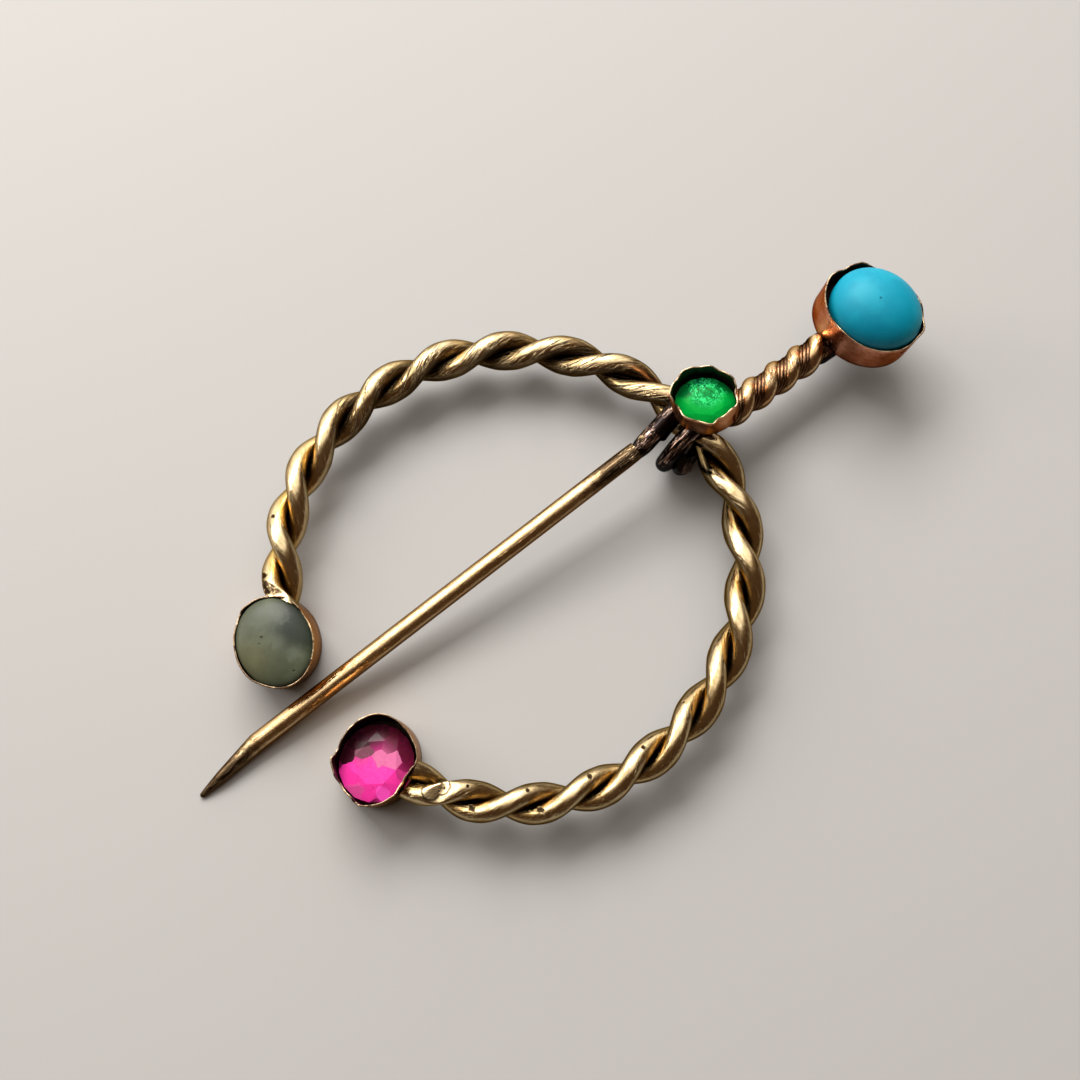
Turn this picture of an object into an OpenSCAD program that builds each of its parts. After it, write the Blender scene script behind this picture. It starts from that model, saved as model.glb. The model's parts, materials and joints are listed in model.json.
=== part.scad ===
// Penannular brooch of twisted gold wire, set with four stones.
// The hoop is open at one side and has a stone setting on each end.
// The pin rides on the hoop by a coil: its needle points along -X through
// the open side, and its head with the largest stone points along +X.
// Z = 0 is the surface that the brooch lies on, and sizes are in millimetres.

/* [Hoop] */
// Mean radius of the hoop, to the middle of its two wires
hoop_r = 17.3; // [16.5:0.1:18.5]
// How far the hoop bulges from a true circle, three times round
hoop_lobe = 0.18; // [0:0.02:0.3]
// Thickness of each of the hoop's two wires
hoop_wire_d = 1.55; // [1.3:0.05:1.55]
// Length of one full turn of the hoop's twist
hoop_pitch = 9.4; // [8.4:0.1:11]
// Angle of the hoop's end at the grey-green stone
hoop_start = 147.8; // [144:0.2:150]
// Angle of the hoop's end at the pink stone
hoop_end = -149.3; // [-152:0.1:-146]

/* [Pin] */
// Thickness of the needle
needle_d = 1.46; // [1.2:0.02:1.5]
// Distance from the hoop's centre to the needle's point
point_reach = 28.3; // [26:0.1:32]
// Length of the needle's tapered point
point_len = 5.4; // [4:0.2:8]
// Where the needle leaves the coil, sideways from the hoop's centre
needle_y = 0.88; // [0.6:0.02:1.3]
// Where the needle's point starts, sideways from the hoop's centre
needle_low_y = 1.84; // [1.2:0.02:2]
// Where the tip of the point is, sideways from the hoop's centre
point_y = 1.32; // [1:0.02:1.6]
// Thickness of the coil's wire
coil_wire_d = 1.3; // [1:0.05:1.34]
// Room between the hoop's twist and the inside of the coil
coil_room = 0.22; // [0.2:0.01:0.4]
// How much wider than high the coil is, all of it towards the hoop's inside
coil_slack = 0.45; // [0:0.05:0.6]
// How far the coil sits along the hoop from the line through its middle
coil_y = 0; // [-0.15:0.05:0.15]

/* [Stem] */
// Thickness of each of the stem's two thick wires
stem_wire_d = 1.1; // [1:0.02:1.2]
// Thickness of the fine wires that lie between them
fine_wire_d = 0.4; // [0.36:0.01:0.42]
// Length of one full turn of the stem's twist
stem_pitch = 4.4; // [4:0.1:5]
// Height of the stem's middle above the surface, at the coil
stem_z = 3.75; // [3.4:0.05:4]
// How much lower the stem is at its far end
stem_drop = 0.35; // [0:0.05:0.5]

/* [Settings] */
// Thickness of the settings' walls
wall = 0.26; // [0.2:0.02:0.4]
// Height of the two settings on the hoop's ends
end_setting_h = 4.4; // [4:0.1:4.8]
// Height of the setting over the crossing
green_setting_h = 2.6; // [2.2:0.1:3]
// Height of the setting on the pin's head
head_setting_h = 3.3; // [3:0.1:3.6]
// Gap between a stone and its setting
stone_gap = 0.04; // [0.02:0.01:0.06]
// Width of the pink cut stone
pink_d = 5.1; // [4.6:0.05:5.1]
// Width of the green cut stone
green_d = 3.5; // [3.2:0.05:3.6]

/* [Hidden] */
$fn = 48;

gold = [0.86, 0.68, 0.36];
rose_gold = [0.80, 0.48, 0.30];
tiny = 0.01;
tube_sides = 10;
fine_sides = 6;
rings_per_turn = 16;

// The hoop's twist: two wires side by side, half a turn apart
hoop_helix_r = hoop_wire_d / 2 + 0.015;
rope_r = hoop_helix_r + hoop_wire_d / 2;
hoop_arc = hoop_start - hoop_end;
lobe_turn = -6.7;
first_crossing = 135.5;
twist_drift = 2.2;
degrees_per_turn = hoop_pitch / hoop_r * 180 / PI;
// The wires run on past the visible arc, into the settings' walls
end_run = 7;

// The coil is straight, so its middle sits half the hoop's bow inside the hoop
coil_half_len = 1.85;
coil_bow = pow(coil_half_len, 2) / (2 * hoop_r);
coil_x = hoop_radius(0) - coil_bow / 2;
coil_inner_r = rope_r + coil_bow / 2 + coil_room / 2;
coil_mid_r = coil_inner_r + coil_wire_d / 2;
coil_wide_r = coil_mid_r + coil_slack;
slack_inward = 0.55;
coil_mid_x = coil_x - slack_inward * coil_slack;
hoop_z = coil_inner_r + coil_wire_d;
// The coil's turn runs from its cut end, on the inside of the hoop, down and under it. These
// give the place along the hoop, and how far a loose turn stands out, at a turn in degrees.
coil_from = -15;
coil_to = 690;
coil_across = [[0, -1.75], [180, 0], [360, -0.9], [540, 1.6], [720, 0.95]];
coil_loose = [[0, -0.45], [180, 0], [360, 0.45], [540, 0], [720, 0]];

// The needle runs from the top of the coil down to its blunt point on the surface
needle_top = [coil_x, needle_y, hoop_z + coil_inner_r + needle_d / 2];
needle_low = [point_len - point_reach, needle_low_y, needle_d / 2];
needle_len = norm(needle_top - needle_low);
needle_slope = asin((needle_top[2] - needle_low[2]) / needle_len);
needle_yaw = atan2(needle_top[1] - needle_low[1], needle_top[0] - needle_low[0]);
// The needle's root thins to the coil's wire over this length
root_len = 5;
shaft_len = needle_len - root_len;
tip_r = 0.16;
tip_at = [-point_reach, point_y, tip_r];
nose_r = 0.46;
nose_at = [-point_reach + 1.9, (2 * point_y + needle_low_y) / 3, nose_r];
// A short end of wire that lies along the needle's root
stub_from = [13.4, 1.3, 5.05];
stub_to = [16.6, 1.85, 5.9];
stub_d = 0.85;

// The stem leaves the coil's outer side and ends flattened under the head's setting
stem_from = [coil_mid_x + coil_wide_r, -0.78, stem_z];
stem_to = [29.0, -1.14, stem_z - stem_drop];
stem_phase = 61.4;
stem_out_r = 1.32 - stem_wire_d / 2;
stem_core_r = 0.8;
fine_out_r = 0.98;
fine_turn = 30;
head_xy = [32.64, -1.68];
bar_t = 1.05;
bar_w = 2.3;
bar_end = 1.2;
bar_taper = 0.8;
bar_overlap = 0.1;
head_base_z = stem_to[2] + bar_t / 2 - bar_overlap;

// Settings: place, foot height, height, half sizes, turn of the long axis, lean of the rim,
// number of waves round the rim, where the first one is widest, their depth in height and
// in width, and the height of the seat that the stone rests on
SX = 0;
SY = 1;
FOOT = 2;
HIGH = 3;
HALF_A = 4;
HALF_B = 5;
TURN = 6;
LEAN_X = 7;
LEAN_Y = 8;
WAVES = 9;
WAVE_AT = 10;
WAVE_Z = 11;
WAVE_R = 12;
SEAT = 13;
grey_cup = [-16.96, 6.93, 0, end_setting_h, 3.5, 2.94, 70.2, -0.36, -0.65,
    3, 100, 0.10, 0.03, 2.3];
pink_cup = [-16.60, -4.97, 0, end_setting_h, 3.34, 2.96, 26.7, -0.12, -0.08,
    4, 22, 0.16, 0.15, 2.5];
green_cup = [18.48, 0.34, hoop_z + coil_mid_r + 0.3, green_setting_h, 2.52, 2.26, -39.8,
    -0.26, 0.20, 8, 0, 0.16, 0.10, 0.7];
head_cup = [head_xy[0], head_xy[1], head_base_z, head_setting_h, 4.02, 3.24, 101.6,
    0.46, -0.17, 6, 40, 0.14, 0.04, 0.5];
cup_steps = 48;
cup_floor = 0.4;
seat_w = 0.35;

// Stones: how far a dome's edge stays under the rim, and how high the stone rises
grey_edge = end_setting_h - grey_cup[SEAT] - 0.25;
grey_dome = 0.75;
turquoise_edge = head_setting_h - head_cup[SEAT] - 0.3;
turquoise_dome = 2.1;
dome_rings = 6;
dome_turn = 84;
pink_crown = 0.95;
green_crown = 0.8;
table_share = 0.62;
girdle_z = 0.1;
girdle_h = 0.25;
cut_room = 0.08;
culet_r = 0.3;
deepest_cut = 1.4;

// The whole is shifted so that the origin is under the middle of its box
head_half_x = norm([head_cup[HALF_A] * cos(head_cup[TURN]), head_cup[HALF_B] * sin(head_cup[TURN])]);
box_mid = [(head_xy[0] + head_cup[LEAN_X] + head_half_x - point_reach - tip_r) / 2, 0];

function hoop_radius(a) = hoop_r + hoop_lobe * cos(3 * (a - lobe_turn));

function unit(v) = v / norm(v);

// Turn of the twist at an angle round the hoop: 90 puts the wire on top
function twist_at(a) = 90 + 360 / degrees_per_turn
    * (a - first_crossing - twist_drift * sin(360 * (hoop_start - a) / hoop_arc));

// A ring of points round p, square to the direction t, starting from the side that out names
function ring(p, t, out, r, sides) =
    let (u = unit(out - (out * t) * t), v = cross(t, u))
    [for (i = [0:sides - 1]) p + r * (cos(360 * i / sides) * u + sin(360 * i / sides) * v)];

// Closed faces for stacked rings of equal size, with a flat cap on each end
function tube_faces(rings, sides) = concat(
    [for (k = [0:rings - 2], i = [0:sides - 1], half = [0, 1])
        let (j = (i + 1) % sides, a = k * sides, b = a + sides)
        half == 0 ? [a + i, b + i, b + j] : [a + i, b + j, a + j]],
    [for (i = [1:sides - 2]) [0, i, i + 1]],
    [for (i = [1:sides - 2]) let (a = (rings - 1) * sides) [a, a + i + 1, a + i]]);

// A round wire along the points path, with outs the side that each ring starts from
module wire(path, outs, d, sides) {
    last = len(path) - 1;
    points = [for (k = [0:last])
        let (t = unit(path[min(k + 1, last)] - path[max(k - 1, 0)]))
        each ring(path[k], t, outs[k], d / 2, sides)];
    polyhedron(points, tube_faces(len(path), sides));
}

// One of the hoop's two wires
module hoop_wire(side) {
    from = hoop_start + end_run;
    to = hoop_end - end_run;
    steps = ceil((from - to) / degrees_per_turn * rings_per_turn);
    angles = [for (k = [0:steps]) from + (to - from) * k / steps];
    turns = [for (a = angles) twist_at(a) + side * 180];
    outs = [for (k = [0:steps])
        [cos(turns[k]) * cos(angles[k]), cos(turns[k]) * sin(angles[k]), sin(turns[k])]];
    path = [for (k = [0:steps])
        [hoop_radius(angles[k]) * cos(angles[k]), hoop_radius(angles[k]) * sin(angles[k]), hoop_z]
        + hoop_helix_r * outs[k]];
    wire(path, outs, hoop_wire_d, tube_sides);
}

// Outline of a setting at an angle, grown outward by extra
function oval(cup, a, extra) =
    let (x = (cup[HALF_A] + extra) * cos(a), y = (cup[HALF_B] + extra) * sin(a))
    [x * cos(cup[TURN]) - y * sin(cup[TURN]), x * sin(cup[TURN]) + y * cos(cup[TURN])];

// A point of a setting: angle, height above its foot, and growth outward
function cup_point(cup, a, z, extra) =
    let (o = oval(cup, a, extra), lean = z / cup[HIGH])
    [cup[SX] + o[0] + lean * cup[LEAN_X], cup[SY] + o[1] + lean * cup[LEAN_Y], cup[FOOT] + z];

function rim_z(cup, a) = cup[HIGH] + cup[WAVE_Z] * (0.7 * sin(cup[WAVES] * a) + 0.3 * sin(2 * a + 40));
function rim_r(cup, a) = cup[WAVE_R] * cos(cup[WAVES] * (a - cup[WAVE_AT]));

// A thin-walled setting: outside, wavy rim, inside, seat for the stone and floor
module setting(cup) {
    rows = [for (part = [0:5])
        [for (i = [0:cup_steps - 1])
            let (a = 360 * i / cup_steps, h = rim_z(cup, a), w = rim_r(cup, a))
            part == 0 ? cup_point(cup, a, 0, 0)
            : part == 1 ? cup_point(cup, a, h, w)
            : part == 2 ? cup_point(cup, a, h, w - wall)
            : part == 3 ? cup_point(cup, a, cup[SEAT], -wall)
            : part == 4 ? cup_point(cup, a, cup[SEAT], -wall - seat_w)
            : cup_point(cup, a, cup_floor, -wall - seat_w)]];
    polyhedron([for (r = rows) each r], tube_faces(len(rows), cup_steps));
}

// What a setting's wall closes in, to clear the hoop's wires from its inside
module setting_core(cup) {
    rows = [for (z = [cup_floor / 2, cup[HIGH] + 1])
        [for (i = [0:cup_steps - 1]) cup_point(cup, 360 * i / cup_steps, z, -wall / 2)]];
    polyhedron([for (r = rows) each r], tube_faces(len(rows), cup_steps));
}

// A domed stone with an upright edge, seated in its setting
module cabochon(cup, edge, dome) {
    gap = -wall - stone_gap - cup[WAVE_R];
    z0 = cup[SEAT] + stone_gap;
    rows = concat(
        [[for (i = [0:cup_steps - 1]) cup_point(cup, 360 * i / cup_steps, z0, gap)]],
        [for (k = [0:dome_rings])
            let (t = dome_turn * k / dome_rings)
            [for (i = [0:cup_steps - 1])
                let (shrink = gap - (cup[HALF_B] + gap) * (1 - cos(t)))
                cup_point(cup, 360 * i / cup_steps, z0 + edge + dome * sin(t), shrink)]]);
    polyhedron([for (r = rows) each r], tube_faces(len(rows), cup_steps));
}

// A cut stone: table, eight crown facets, girdle and eight facets below
module cut_stone(cup, d, crown) {
    r = d / 2;
    lean = cup[SEAT] / cup[HIGH];
    depth = min(cup[SEAT] - cup_floor - 2 * cut_room, deepest_cut);
    translate([cup[SX] + lean * cup[LEAN_X], cup[SY] + lean * cup[LEAN_Y],
            cup[FOOT] + cup[SEAT] + stone_gap])
        hull() {
            translate([0, 0, girdle_z])
                cylinder(r = r, h = girdle_h, $fn = 16);
            translate([0, 0, crown])
                rotate(22.5)
                    cylinder(r = r * table_share, h = tiny, $fn = 8);
            translate([0, 0, girdle_z - depth])
                cylinder(r = culet_r, h = tiny, $fn = 8);
        }
}

// The coil that holds the pin on the hoop
module coil() {
    steps = ceil((coil_to - coil_from) / 360 * rings_per_turn);
    turns = [for (k = [0:steps]) coil_from + (coil_to - coil_from) * k / steps];
    outs = [for (t = turns) [-cos(t), 0, -sin(t)]];
    path = [for (k = [0:steps])
        [coil_mid_x + (coil_wide_r + lookup(turns[k], coil_loose)) * outs[k][0],
            coil_y + lookup(turns[k], coil_across), hoop_z + coil_mid_r * outs[k][2]]];
    wire(path, outs, coil_wire_d, tube_sides);
}

// The wire end beside the needle's root
module stub() {
    along = stub_to - stub_from;
    translate(stub_from)
        rotate([0, acos(along[2] / norm(along)), atan2(along[1], along[0])])
            cylinder(d = stub_d, h = norm(along), $fn = 24);
}

// One wire of the stem's twist: its place round the stem, its distance out and its thickness
module stem_wire(turn, out_r, d, sides) {
    along = unit(stem_to - stem_from);
    side = unit(cross([0, 0, 1], along));
    top = cross(along, side);
    length = norm(stem_to - stem_from);
    steps = ceil(length / stem_pitch * rings_per_turn);
    outs = [for (k = [0:steps])
        let (t = turn + stem_phase - 360 * length / stem_pitch * k / steps)
        cos(t) * side + sin(t) * top];
    path = [for (k = [0:steps]) stem_from + along * (length * k / steps) + out_r * outs[k]];
    wire(path, outs, d, sides);
}

// The straight wire that the stem's other wires are twisted round
module stem_core() {
    along = stem_to - stem_from;
    translate(stem_from)
        rotate([0, acos(along[2] / norm(along)), atan2(along[1], along[0])])
            cylinder(r = stem_core_r, h = norm(along), $fn = 24);
}

// A thin disc square to the needle
module needle_disc(at, r)
    translate(at)
        rotate([0, 90 - needle_slope, needle_yaw])
            cylinder(r = r, h = tiny, $fn = 24);

module needle() {
    translate(needle_low)
        rotate([0, 90 - needle_slope, needle_yaw]) {
            cylinder(d = needle_d, h = shaft_len);
            translate([0, 0, shaft_len])
                cylinder(d1 = needle_d, d2 = coil_wire_d, h = root_len);
        }
    hull() {
        needle_disc(needle_low, needle_d / 2);
        needle_disc(nose_at, nose_r);
    }
    hull() {
        needle_disc(nose_at, nose_r);
        translate(tip_at)
            sphere(r = tip_r, $fn = 16);
    }
}

// The stem's flattened end, which carries the head's setting
module head_bar() {
    translate([0, 0, stem_to[2] - bar_t / 2])
        hull() {
            translate([stem_to[0] - bar_overlap, stem_to[1], 0])
                cylinder(d = bar_w, h = bar_t, $fn = 24);
            translate([head_xy[0] + bar_end, head_xy[1], 0])
                cylinder(d = bar_w * bar_taper, h = bar_t, $fn = 24);
        }
}

module hoop() color(gold) placed() {
    difference() {
        union() {
            hoop_wire(0);
            hoop_wire(1);
        }
        setting_core(grey_cup);
        setting_core(pink_cup);
    }
    setting(grey_cup);
    setting(pink_cup);
}

module pin() color(rose_gold) placed() {
    needle();
    coil();
    stub();
    for (side = [0, 180]) {
        stem_wire(side, stem_out_r, stem_wire_d, tube_sides);
        for (turn = [-fine_turn, 0, fine_turn])
            stem_wire(side + 90 + turn, fine_out_r, fine_wire_d, fine_sides);
    }
    stem_core();
    head_bar();
    setting(green_cup);
    setting(head_cup);
}

module grey_green_cabochon() color([0.42, 0.46, 0.38]) placed()
    cabochon(grey_cup, grey_edge, grey_dome);

module pink_stone() color([0.86, 0.18, 0.48]) placed()
    cut_stone(pink_cup, pink_d, pink_crown);

module green_stone() color([0.05, 0.62, 0.26]) placed()
    cut_stone(green_cup, green_d, green_crown);

module turquoise_cabochon() color([0.08, 0.62, 0.72]) placed()
    cabochon(head_cup, turquoise_edge, turquoise_dome);

module placed() {
    translate([-box_mid[0], -box_mid[1], 0])
        children();
}

hoop();
pin();
grey_green_cabochon();
pink_stone();
green_stone();
turquoise_cabochon();
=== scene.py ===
import json
import math

import bpy
from mathutils import Euler, Matrix, Vector, kdtree, noise


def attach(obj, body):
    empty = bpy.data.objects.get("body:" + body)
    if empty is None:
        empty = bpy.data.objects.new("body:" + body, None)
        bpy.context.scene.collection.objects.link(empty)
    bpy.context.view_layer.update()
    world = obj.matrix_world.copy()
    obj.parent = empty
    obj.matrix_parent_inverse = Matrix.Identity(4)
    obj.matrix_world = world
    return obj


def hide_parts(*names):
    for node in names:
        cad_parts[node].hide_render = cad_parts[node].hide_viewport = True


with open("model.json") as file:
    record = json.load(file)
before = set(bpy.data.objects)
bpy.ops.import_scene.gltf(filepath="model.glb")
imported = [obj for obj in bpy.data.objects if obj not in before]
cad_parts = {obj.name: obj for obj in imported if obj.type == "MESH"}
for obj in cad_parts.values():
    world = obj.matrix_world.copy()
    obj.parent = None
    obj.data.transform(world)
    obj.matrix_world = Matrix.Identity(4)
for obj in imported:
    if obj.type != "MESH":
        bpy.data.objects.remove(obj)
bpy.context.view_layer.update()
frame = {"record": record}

mm = 0.001

# The brooch is laid out from the hoop's centre, in millimetres. The hoop's wires pass
# through the coil this far out from that centre, which gives the centre's place in the frame.
coilReach = 17.4196
swing = frame["record"]["behaviour"]["joints"][0]["pos_m"]
hoopCentre = Vector((swing[0] - coilReach * mm, 0, 0))
hoopZ = swing[2] / mm


def place(x, y, z):
    return hoopCentre + Vector((x, y, z)) * mm


def deselectAll():
    if bpy.context.object and bpy.context.object.mode != "OBJECT":
        bpy.ops.object.mode_set(mode="OBJECT")
    bpy.ops.object.select_all(action="DESELECT")


def activate(piece):
    deselectAll()
    piece.select_set(True)
    bpy.context.view_layer.objects.active = piece


def applyPlace(piece):
    activate(piece)
    bpy.ops.object.transform_apply(location=True, rotation=True, scale=True)


def editAll():
    bpy.ops.object.mode_set(mode="EDIT")
    bpy.ops.mesh.select_all(action="SELECT")


def stopEditing():
    bpy.ops.object.mode_set(mode="OBJECT")


def extrude(step):
    bpy.ops.mesh.extrude_region_move(TRANSFORM_OT_translate={"value": step})


def applyModifier(piece, kind, **values):
    activate(piece)
    modifier = piece.modifiers.new(kind.title(), kind)
    for name, value in values.items():
        setattr(modifier, name, value)
    bpy.ops.object.modifier_apply(modifier=modifier.name)


def cleanMesh(piece, gap=0.0005):
    activate(piece)
    editAll()
    bpy.ops.mesh.remove_doubles(threshold=gap * mm)
    bpy.ops.mesh.normals_make_consistent(inside=False)
    stopEditing()


def bevel(piece, width, steps, angle):
    applyModifier(piece, "BEVEL", width=width * mm, segments=steps, limit_method="ANGLE",
                  angle_limit=math.radians(angle))


def smooth(piece, angle=50):
    activate(piece)
    bpy.ops.object.shade_smooth_by_angle(angle=math.radians(angle))


def removePiece(piece):
    deselectAll()
    piece.select_set(True)
    bpy.ops.object.delete()


# The body that a metal piece rides on, the node that it replaces and its slot
hoopMetal = ("hoop", "hoop", "hoop_gold")
pinMetal = ("pin", "pin", "pin_gold")


def fit(piece, name, material, body, node, slot):
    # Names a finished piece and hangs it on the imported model
    piece.name = name
    piece.data.name = name
    if not piece.data.materials:
        piece.data.materials.append(material)
    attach(piece, body)
    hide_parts(node)


# Camera and light are laid out as the photograph is: x to its right, y up, z towards the eye
photoView = {
    "turn": -38.49,             # from the photograph's x to the brooch's own x
    "shift": (-1.915, -2.093),  # the hoop's centre in the photograph's plane
    "distance": 112.0,
    "lookAt": (0.0, 0.0, 3.0),
    "tilt": 13.5,               # off the vertical
    "lens": 49.84,
    "sensor": 36.0,
    "clip": (0.001, 10),
}


def fromPhoto(x, y, z):
    turn = math.radians(photoView["turn"])
    flat = Vector((x - photoView["shift"][0], y - photoView["shift"][1], z))
    flat.rotate(Euler((0, 0, turn)))
    return place(*flat)


def photoDirection(x, y, z):
    direction = Vector((x, y, z))
    direction.rotate(Euler((0, 0, math.radians(photoView["turn"]))))
    return direction.normalized()


def aim(thing, target, up):
    back = (thing.location - target).normalized()
    right = up.cross(back).normalized()
    top = back.cross(right)
    thing.rotation_euler = Matrix((right, top, back)).transposed().to_euler()


def makeCamera(values):
    deselectAll()
    bpy.ops.object.camera_add()
    camera = bpy.context.object
    camera.name = "camera"
    tilt = math.radians(values["tilt"])
    look = values["lookAt"]
    camera.location = fromPhoto(
        look[0],
        look[1] - values["distance"] * math.sin(tilt),
        look[2] + values["distance"] * math.cos(tilt),
    )
    aim(camera, fromPhoto(*look), photoDirection(0, 1, 0))
    camera.data.lens = values["lens"]
    camera.data.sensor_width = values["sensor"]
    camera.data.sensor_fit = "HORIZONTAL"
    camera.data.clip_start, camera.data.clip_end = values["clip"]
    bpy.context.scene.camera = camera


studio = {
    "key": {"at": (-70, 190, 210), "size": (230, 130), "watts": 1.0, "colour": (1.0, 0.97, 0.93)},
    "side": {"at": (-230, 60, 130), "size": (110, 110), "watts": 0.14, "colour": (1.0, 0.95, 0.90)},
    "aimAt": (0, 0, 3),
    "lightUp": (0.1, 0.2, 1),
    "floorSize": 3.0,
    "floorColour": (0.44, 0.435, 0.43),
    "floorRough": 0.9,
    # The sky's brightness from its dark side, below the photograph, to its bright side above
    "skyTowards": (-0.25, 0.72, 0.64),
    "sky": [(0.0, (0.05, 0.030, 0.018)), (0.68, (0.065, 0.04, 0.025)), (0.78, (0.22, 0.17, 0.12)),
            (0.835, (1.15, 1.08, 1.0)), (1.0, (1.4, 1.34, 1.26))],
    "skyStrength": 1.1,
}


def makeLight(name, values):
    deselectAll()
    bpy.ops.object.light_add(type="AREA")
    light = bpy.context.object
    light.name = name
    light.location = fromPhoto(*values["at"])
    aim(light, fromPhoto(*studio["aimAt"]), photoDirection(*studio["lightUp"]))
    light.data.shape = "RECTANGLE"
    light.data.size, light.data.size_y = [side * mm for side in values["size"]]
    light.data.energy = values["watts"]
    light.data.color = values["colour"]


# Shader helpers. A value given to one is a number, a colour, a vector or another node's output.
def addNode(tree, kind, **values):
    node = tree.nodes.new(kind)
    for name, value in values.items():
        setattr(node, name, value)
    return node


def feed(tree, socket, value):
    if isinstance(value, bpy.types.NodeSocket):
        tree.links.new(value, socket)
    elif socket.type == "RGBA":
        socket.default_value = (*value, 1)
    else:
        socket.default_value = value


def feedAll(tree, node, values):
    for name, value in values.items():
        feed(tree, node.inputs[name], value)


def maths(tree, operation, *inputs):
    node = addNode(tree, "ShaderNodeMath", operation=operation)
    for socket, value in zip(node.inputs, inputs):
        feed(tree, socket, value)
    return node.outputs[0]


def times(tree, first, second):
    return maths(tree, "MULTIPLY", first, second)


def larger(tree, first, second):
    return maths(tree, "MAXIMUM", first, second)


def addUp(tree, total, *parts):
    # The total and every part, each part times its amount
    for part, amount in parts:
        total = maths(tree, "MULTIPLY_ADD", part, amount, total)
    return total


def vectorMaths(tree, operation, *inputs):
    node = addNode(tree, "ShaderNodeVectorMath", operation=operation)
    for socket, value in zip(node.inputs, inputs):
        feed(tree, socket, value)
    return node.outputs["Value" if operation in ("LENGTH", "DISTANCE", "DOT_PRODUCT") else "Vector"]


def fade(tree, value, low, high, start=0.0, end=1.0):
    node = addNode(tree, "ShaderNodeMapRange", interpolation_type="SMOOTHSTEP")
    for socket, number in zip(node.inputs, (value, low, high, start, end)):
        feed(tree, socket, number)
    return node.outputs["Result"]


def fadeOut(tree, value, low, high, start=1.0):
    return fade(tree, value, low, high, start, 0.0)


def mixColour(tree, share, first, second):
    node = addNode(tree, "ShaderNodeMix", data_type="RGBA")
    feed(tree, node.inputs["Factor"], share)
    feed(tree, node.inputs[6], first)
    feed(tree, node.inputs[7], second)
    return node.outputs[2]


def tint(tree, base, colour, mask, share):
    # Lays a colour over the base where the mask is
    return mixColour(tree, times(tree, mask, share), base, colour)


def partsOf(tree, vector):
    node = addNode(tree, "ShaderNodeSeparateXYZ")
    feed(tree, node.inputs[0], vector)
    return node.outputs


def objectPlace(tree):
    return addNode(tree, "ShaderNodeTexCoord").outputs["Object"]


def wireParts(tree):
    # How far along its wire a place is, how far out on it, and how far to its side
    return partsOf(tree, addNode(tree, "ShaderNodeAttribute", attribute_name="wirePlace").outputs["Vector"])


def noiseMask(tree, vector, scale, detail=3.0, rough=0.6, distortion=0.0):
    node = addNode(tree, "ShaderNodeTexNoise")
    feedAll(tree, node, {"Vector": vector, "Scale": scale, "Detail": detail, "Roughness": rough,
                         "Distortion": distortion})
    return node.outputs["Fac"]


def newGroup(name, inputs, outputs):
    group = bpy.data.node_groups.new(name, "ShaderNodeTree")
    for socket, value in inputs.items():
        kind = "NodeSocketVector" if isinstance(value, tuple) else "NodeSocketFloat"
        group.interface.new_socket(name=socket, in_out="INPUT", socket_type=kind).default_value = value
    for socket in outputs:
        group.interface.new_socket(name=socket, in_out="OUTPUT", socket_type="NodeSocketFloat")
    return group, group.nodes.new("NodeGroupInput").outputs, group.nodes.new("NodeGroupOutput").inputs


def useGroup(tree, name, **values):
    node = tree.nodes.new("ShaderNodeGroup")
    node.node_tree = groups[name]
    feedAll(tree, node, values)
    return node.outputs


streakSoftness = 0.08
spotGrain = {"scale": 2.2 / mm, "detail": 4.0, "rough": 0.65}
spotStretch = (1 / mm, 1 / mm, 0.3 / mm)  # a mark reaches further down a piece than across it


def makeStreaks():
    # Fine scratches that run along a wire, read from its own coordinates
    group, given, result = newGroup(
        "wireStreaks", {"Length": 0.5, "Fineness": 6.0, "Cut": 0.55, "Seed": 0.0}, ["Mask"])
    parts = wireParts(group)
    joined = addNode(group, "ShaderNodeCombineXYZ")
    along = maths(group, "DIVIDE", parts[0], given["Length"])
    feed(group, joined.inputs[0], maths(group, "ADD", along, given["Seed"]))
    for side in (1, 2):
        feed(group, joined.inputs[side], times(group, parts[side], given["Fineness"]))
    grain = noiseMask(group, joined.outputs[0], scale=1.0, detail=4.0, rough=0.65, distortion=0.3)
    top = maths(group, "ADD", given["Cut"], streakSoftness)
    feed(group, result["Mask"], fade(group, grain, given["Cut"], top))
    return group


def makeGrime():
    # Cloudy patches of tarnish, at a size in millimetres
    group, given, result = newGroup(
        "grime", {"Size": 1.0, "Cut": 0.5, "Softness": 0.1, "Seed": 0.0}, ["Mask", "Cloud"])
    node = addNode(group, "ShaderNodeVectorMath", operation="SCALE")
    feed(group, node.inputs[0], objectPlace(group))
    feed(group, node.inputs["Scale"], maths(group, "DIVIDE", 1 / mm, given["Size"]))
    moved = vectorMaths(group, "ADD", node.outputs[0], given["Seed"])
    cloud = noiseMask(group, moved, scale=1.0, detail=5.0, rough=0.62, distortion=0.2)
    feed(group, result["Cloud"], cloud)
    top = maths(group, "ADD", given["Cut"], given["Softness"])
    feed(group, result["Mask"], fade(group, cloud, given["Cut"], top))
    return group


def makeSpot():
    # One when a surface is at the given point, and nothing past the radius, in millimetres
    group, given, result = newGroup(
        "spot", {"Point": (0, 0, 0), "Radius": 1.0, "Edge": 0.3, "Ragged": 0.0}, ["Mask"])
    where = objectPlace(group)
    away = vectorMaths(group, "SUBTRACT", where, given["Point"])
    far = vectorMaths(group, "LENGTH", vectorMaths(group, "MULTIPLY", away, spotStretch))
    grain = maths(group, "SUBTRACT", noiseMask(group, where, **spotGrain), 0.5)
    far = addUp(group, far, (times(group, grain, given["Ragged"]), given["Radius"]))
    inner = times(group, given["Radius"], maths(group, "SUBTRACT", 1.0, given["Edge"]))
    feed(group, result["Mask"], fadeOut(group, far, inner, given["Radius"]))
    return group


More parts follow.
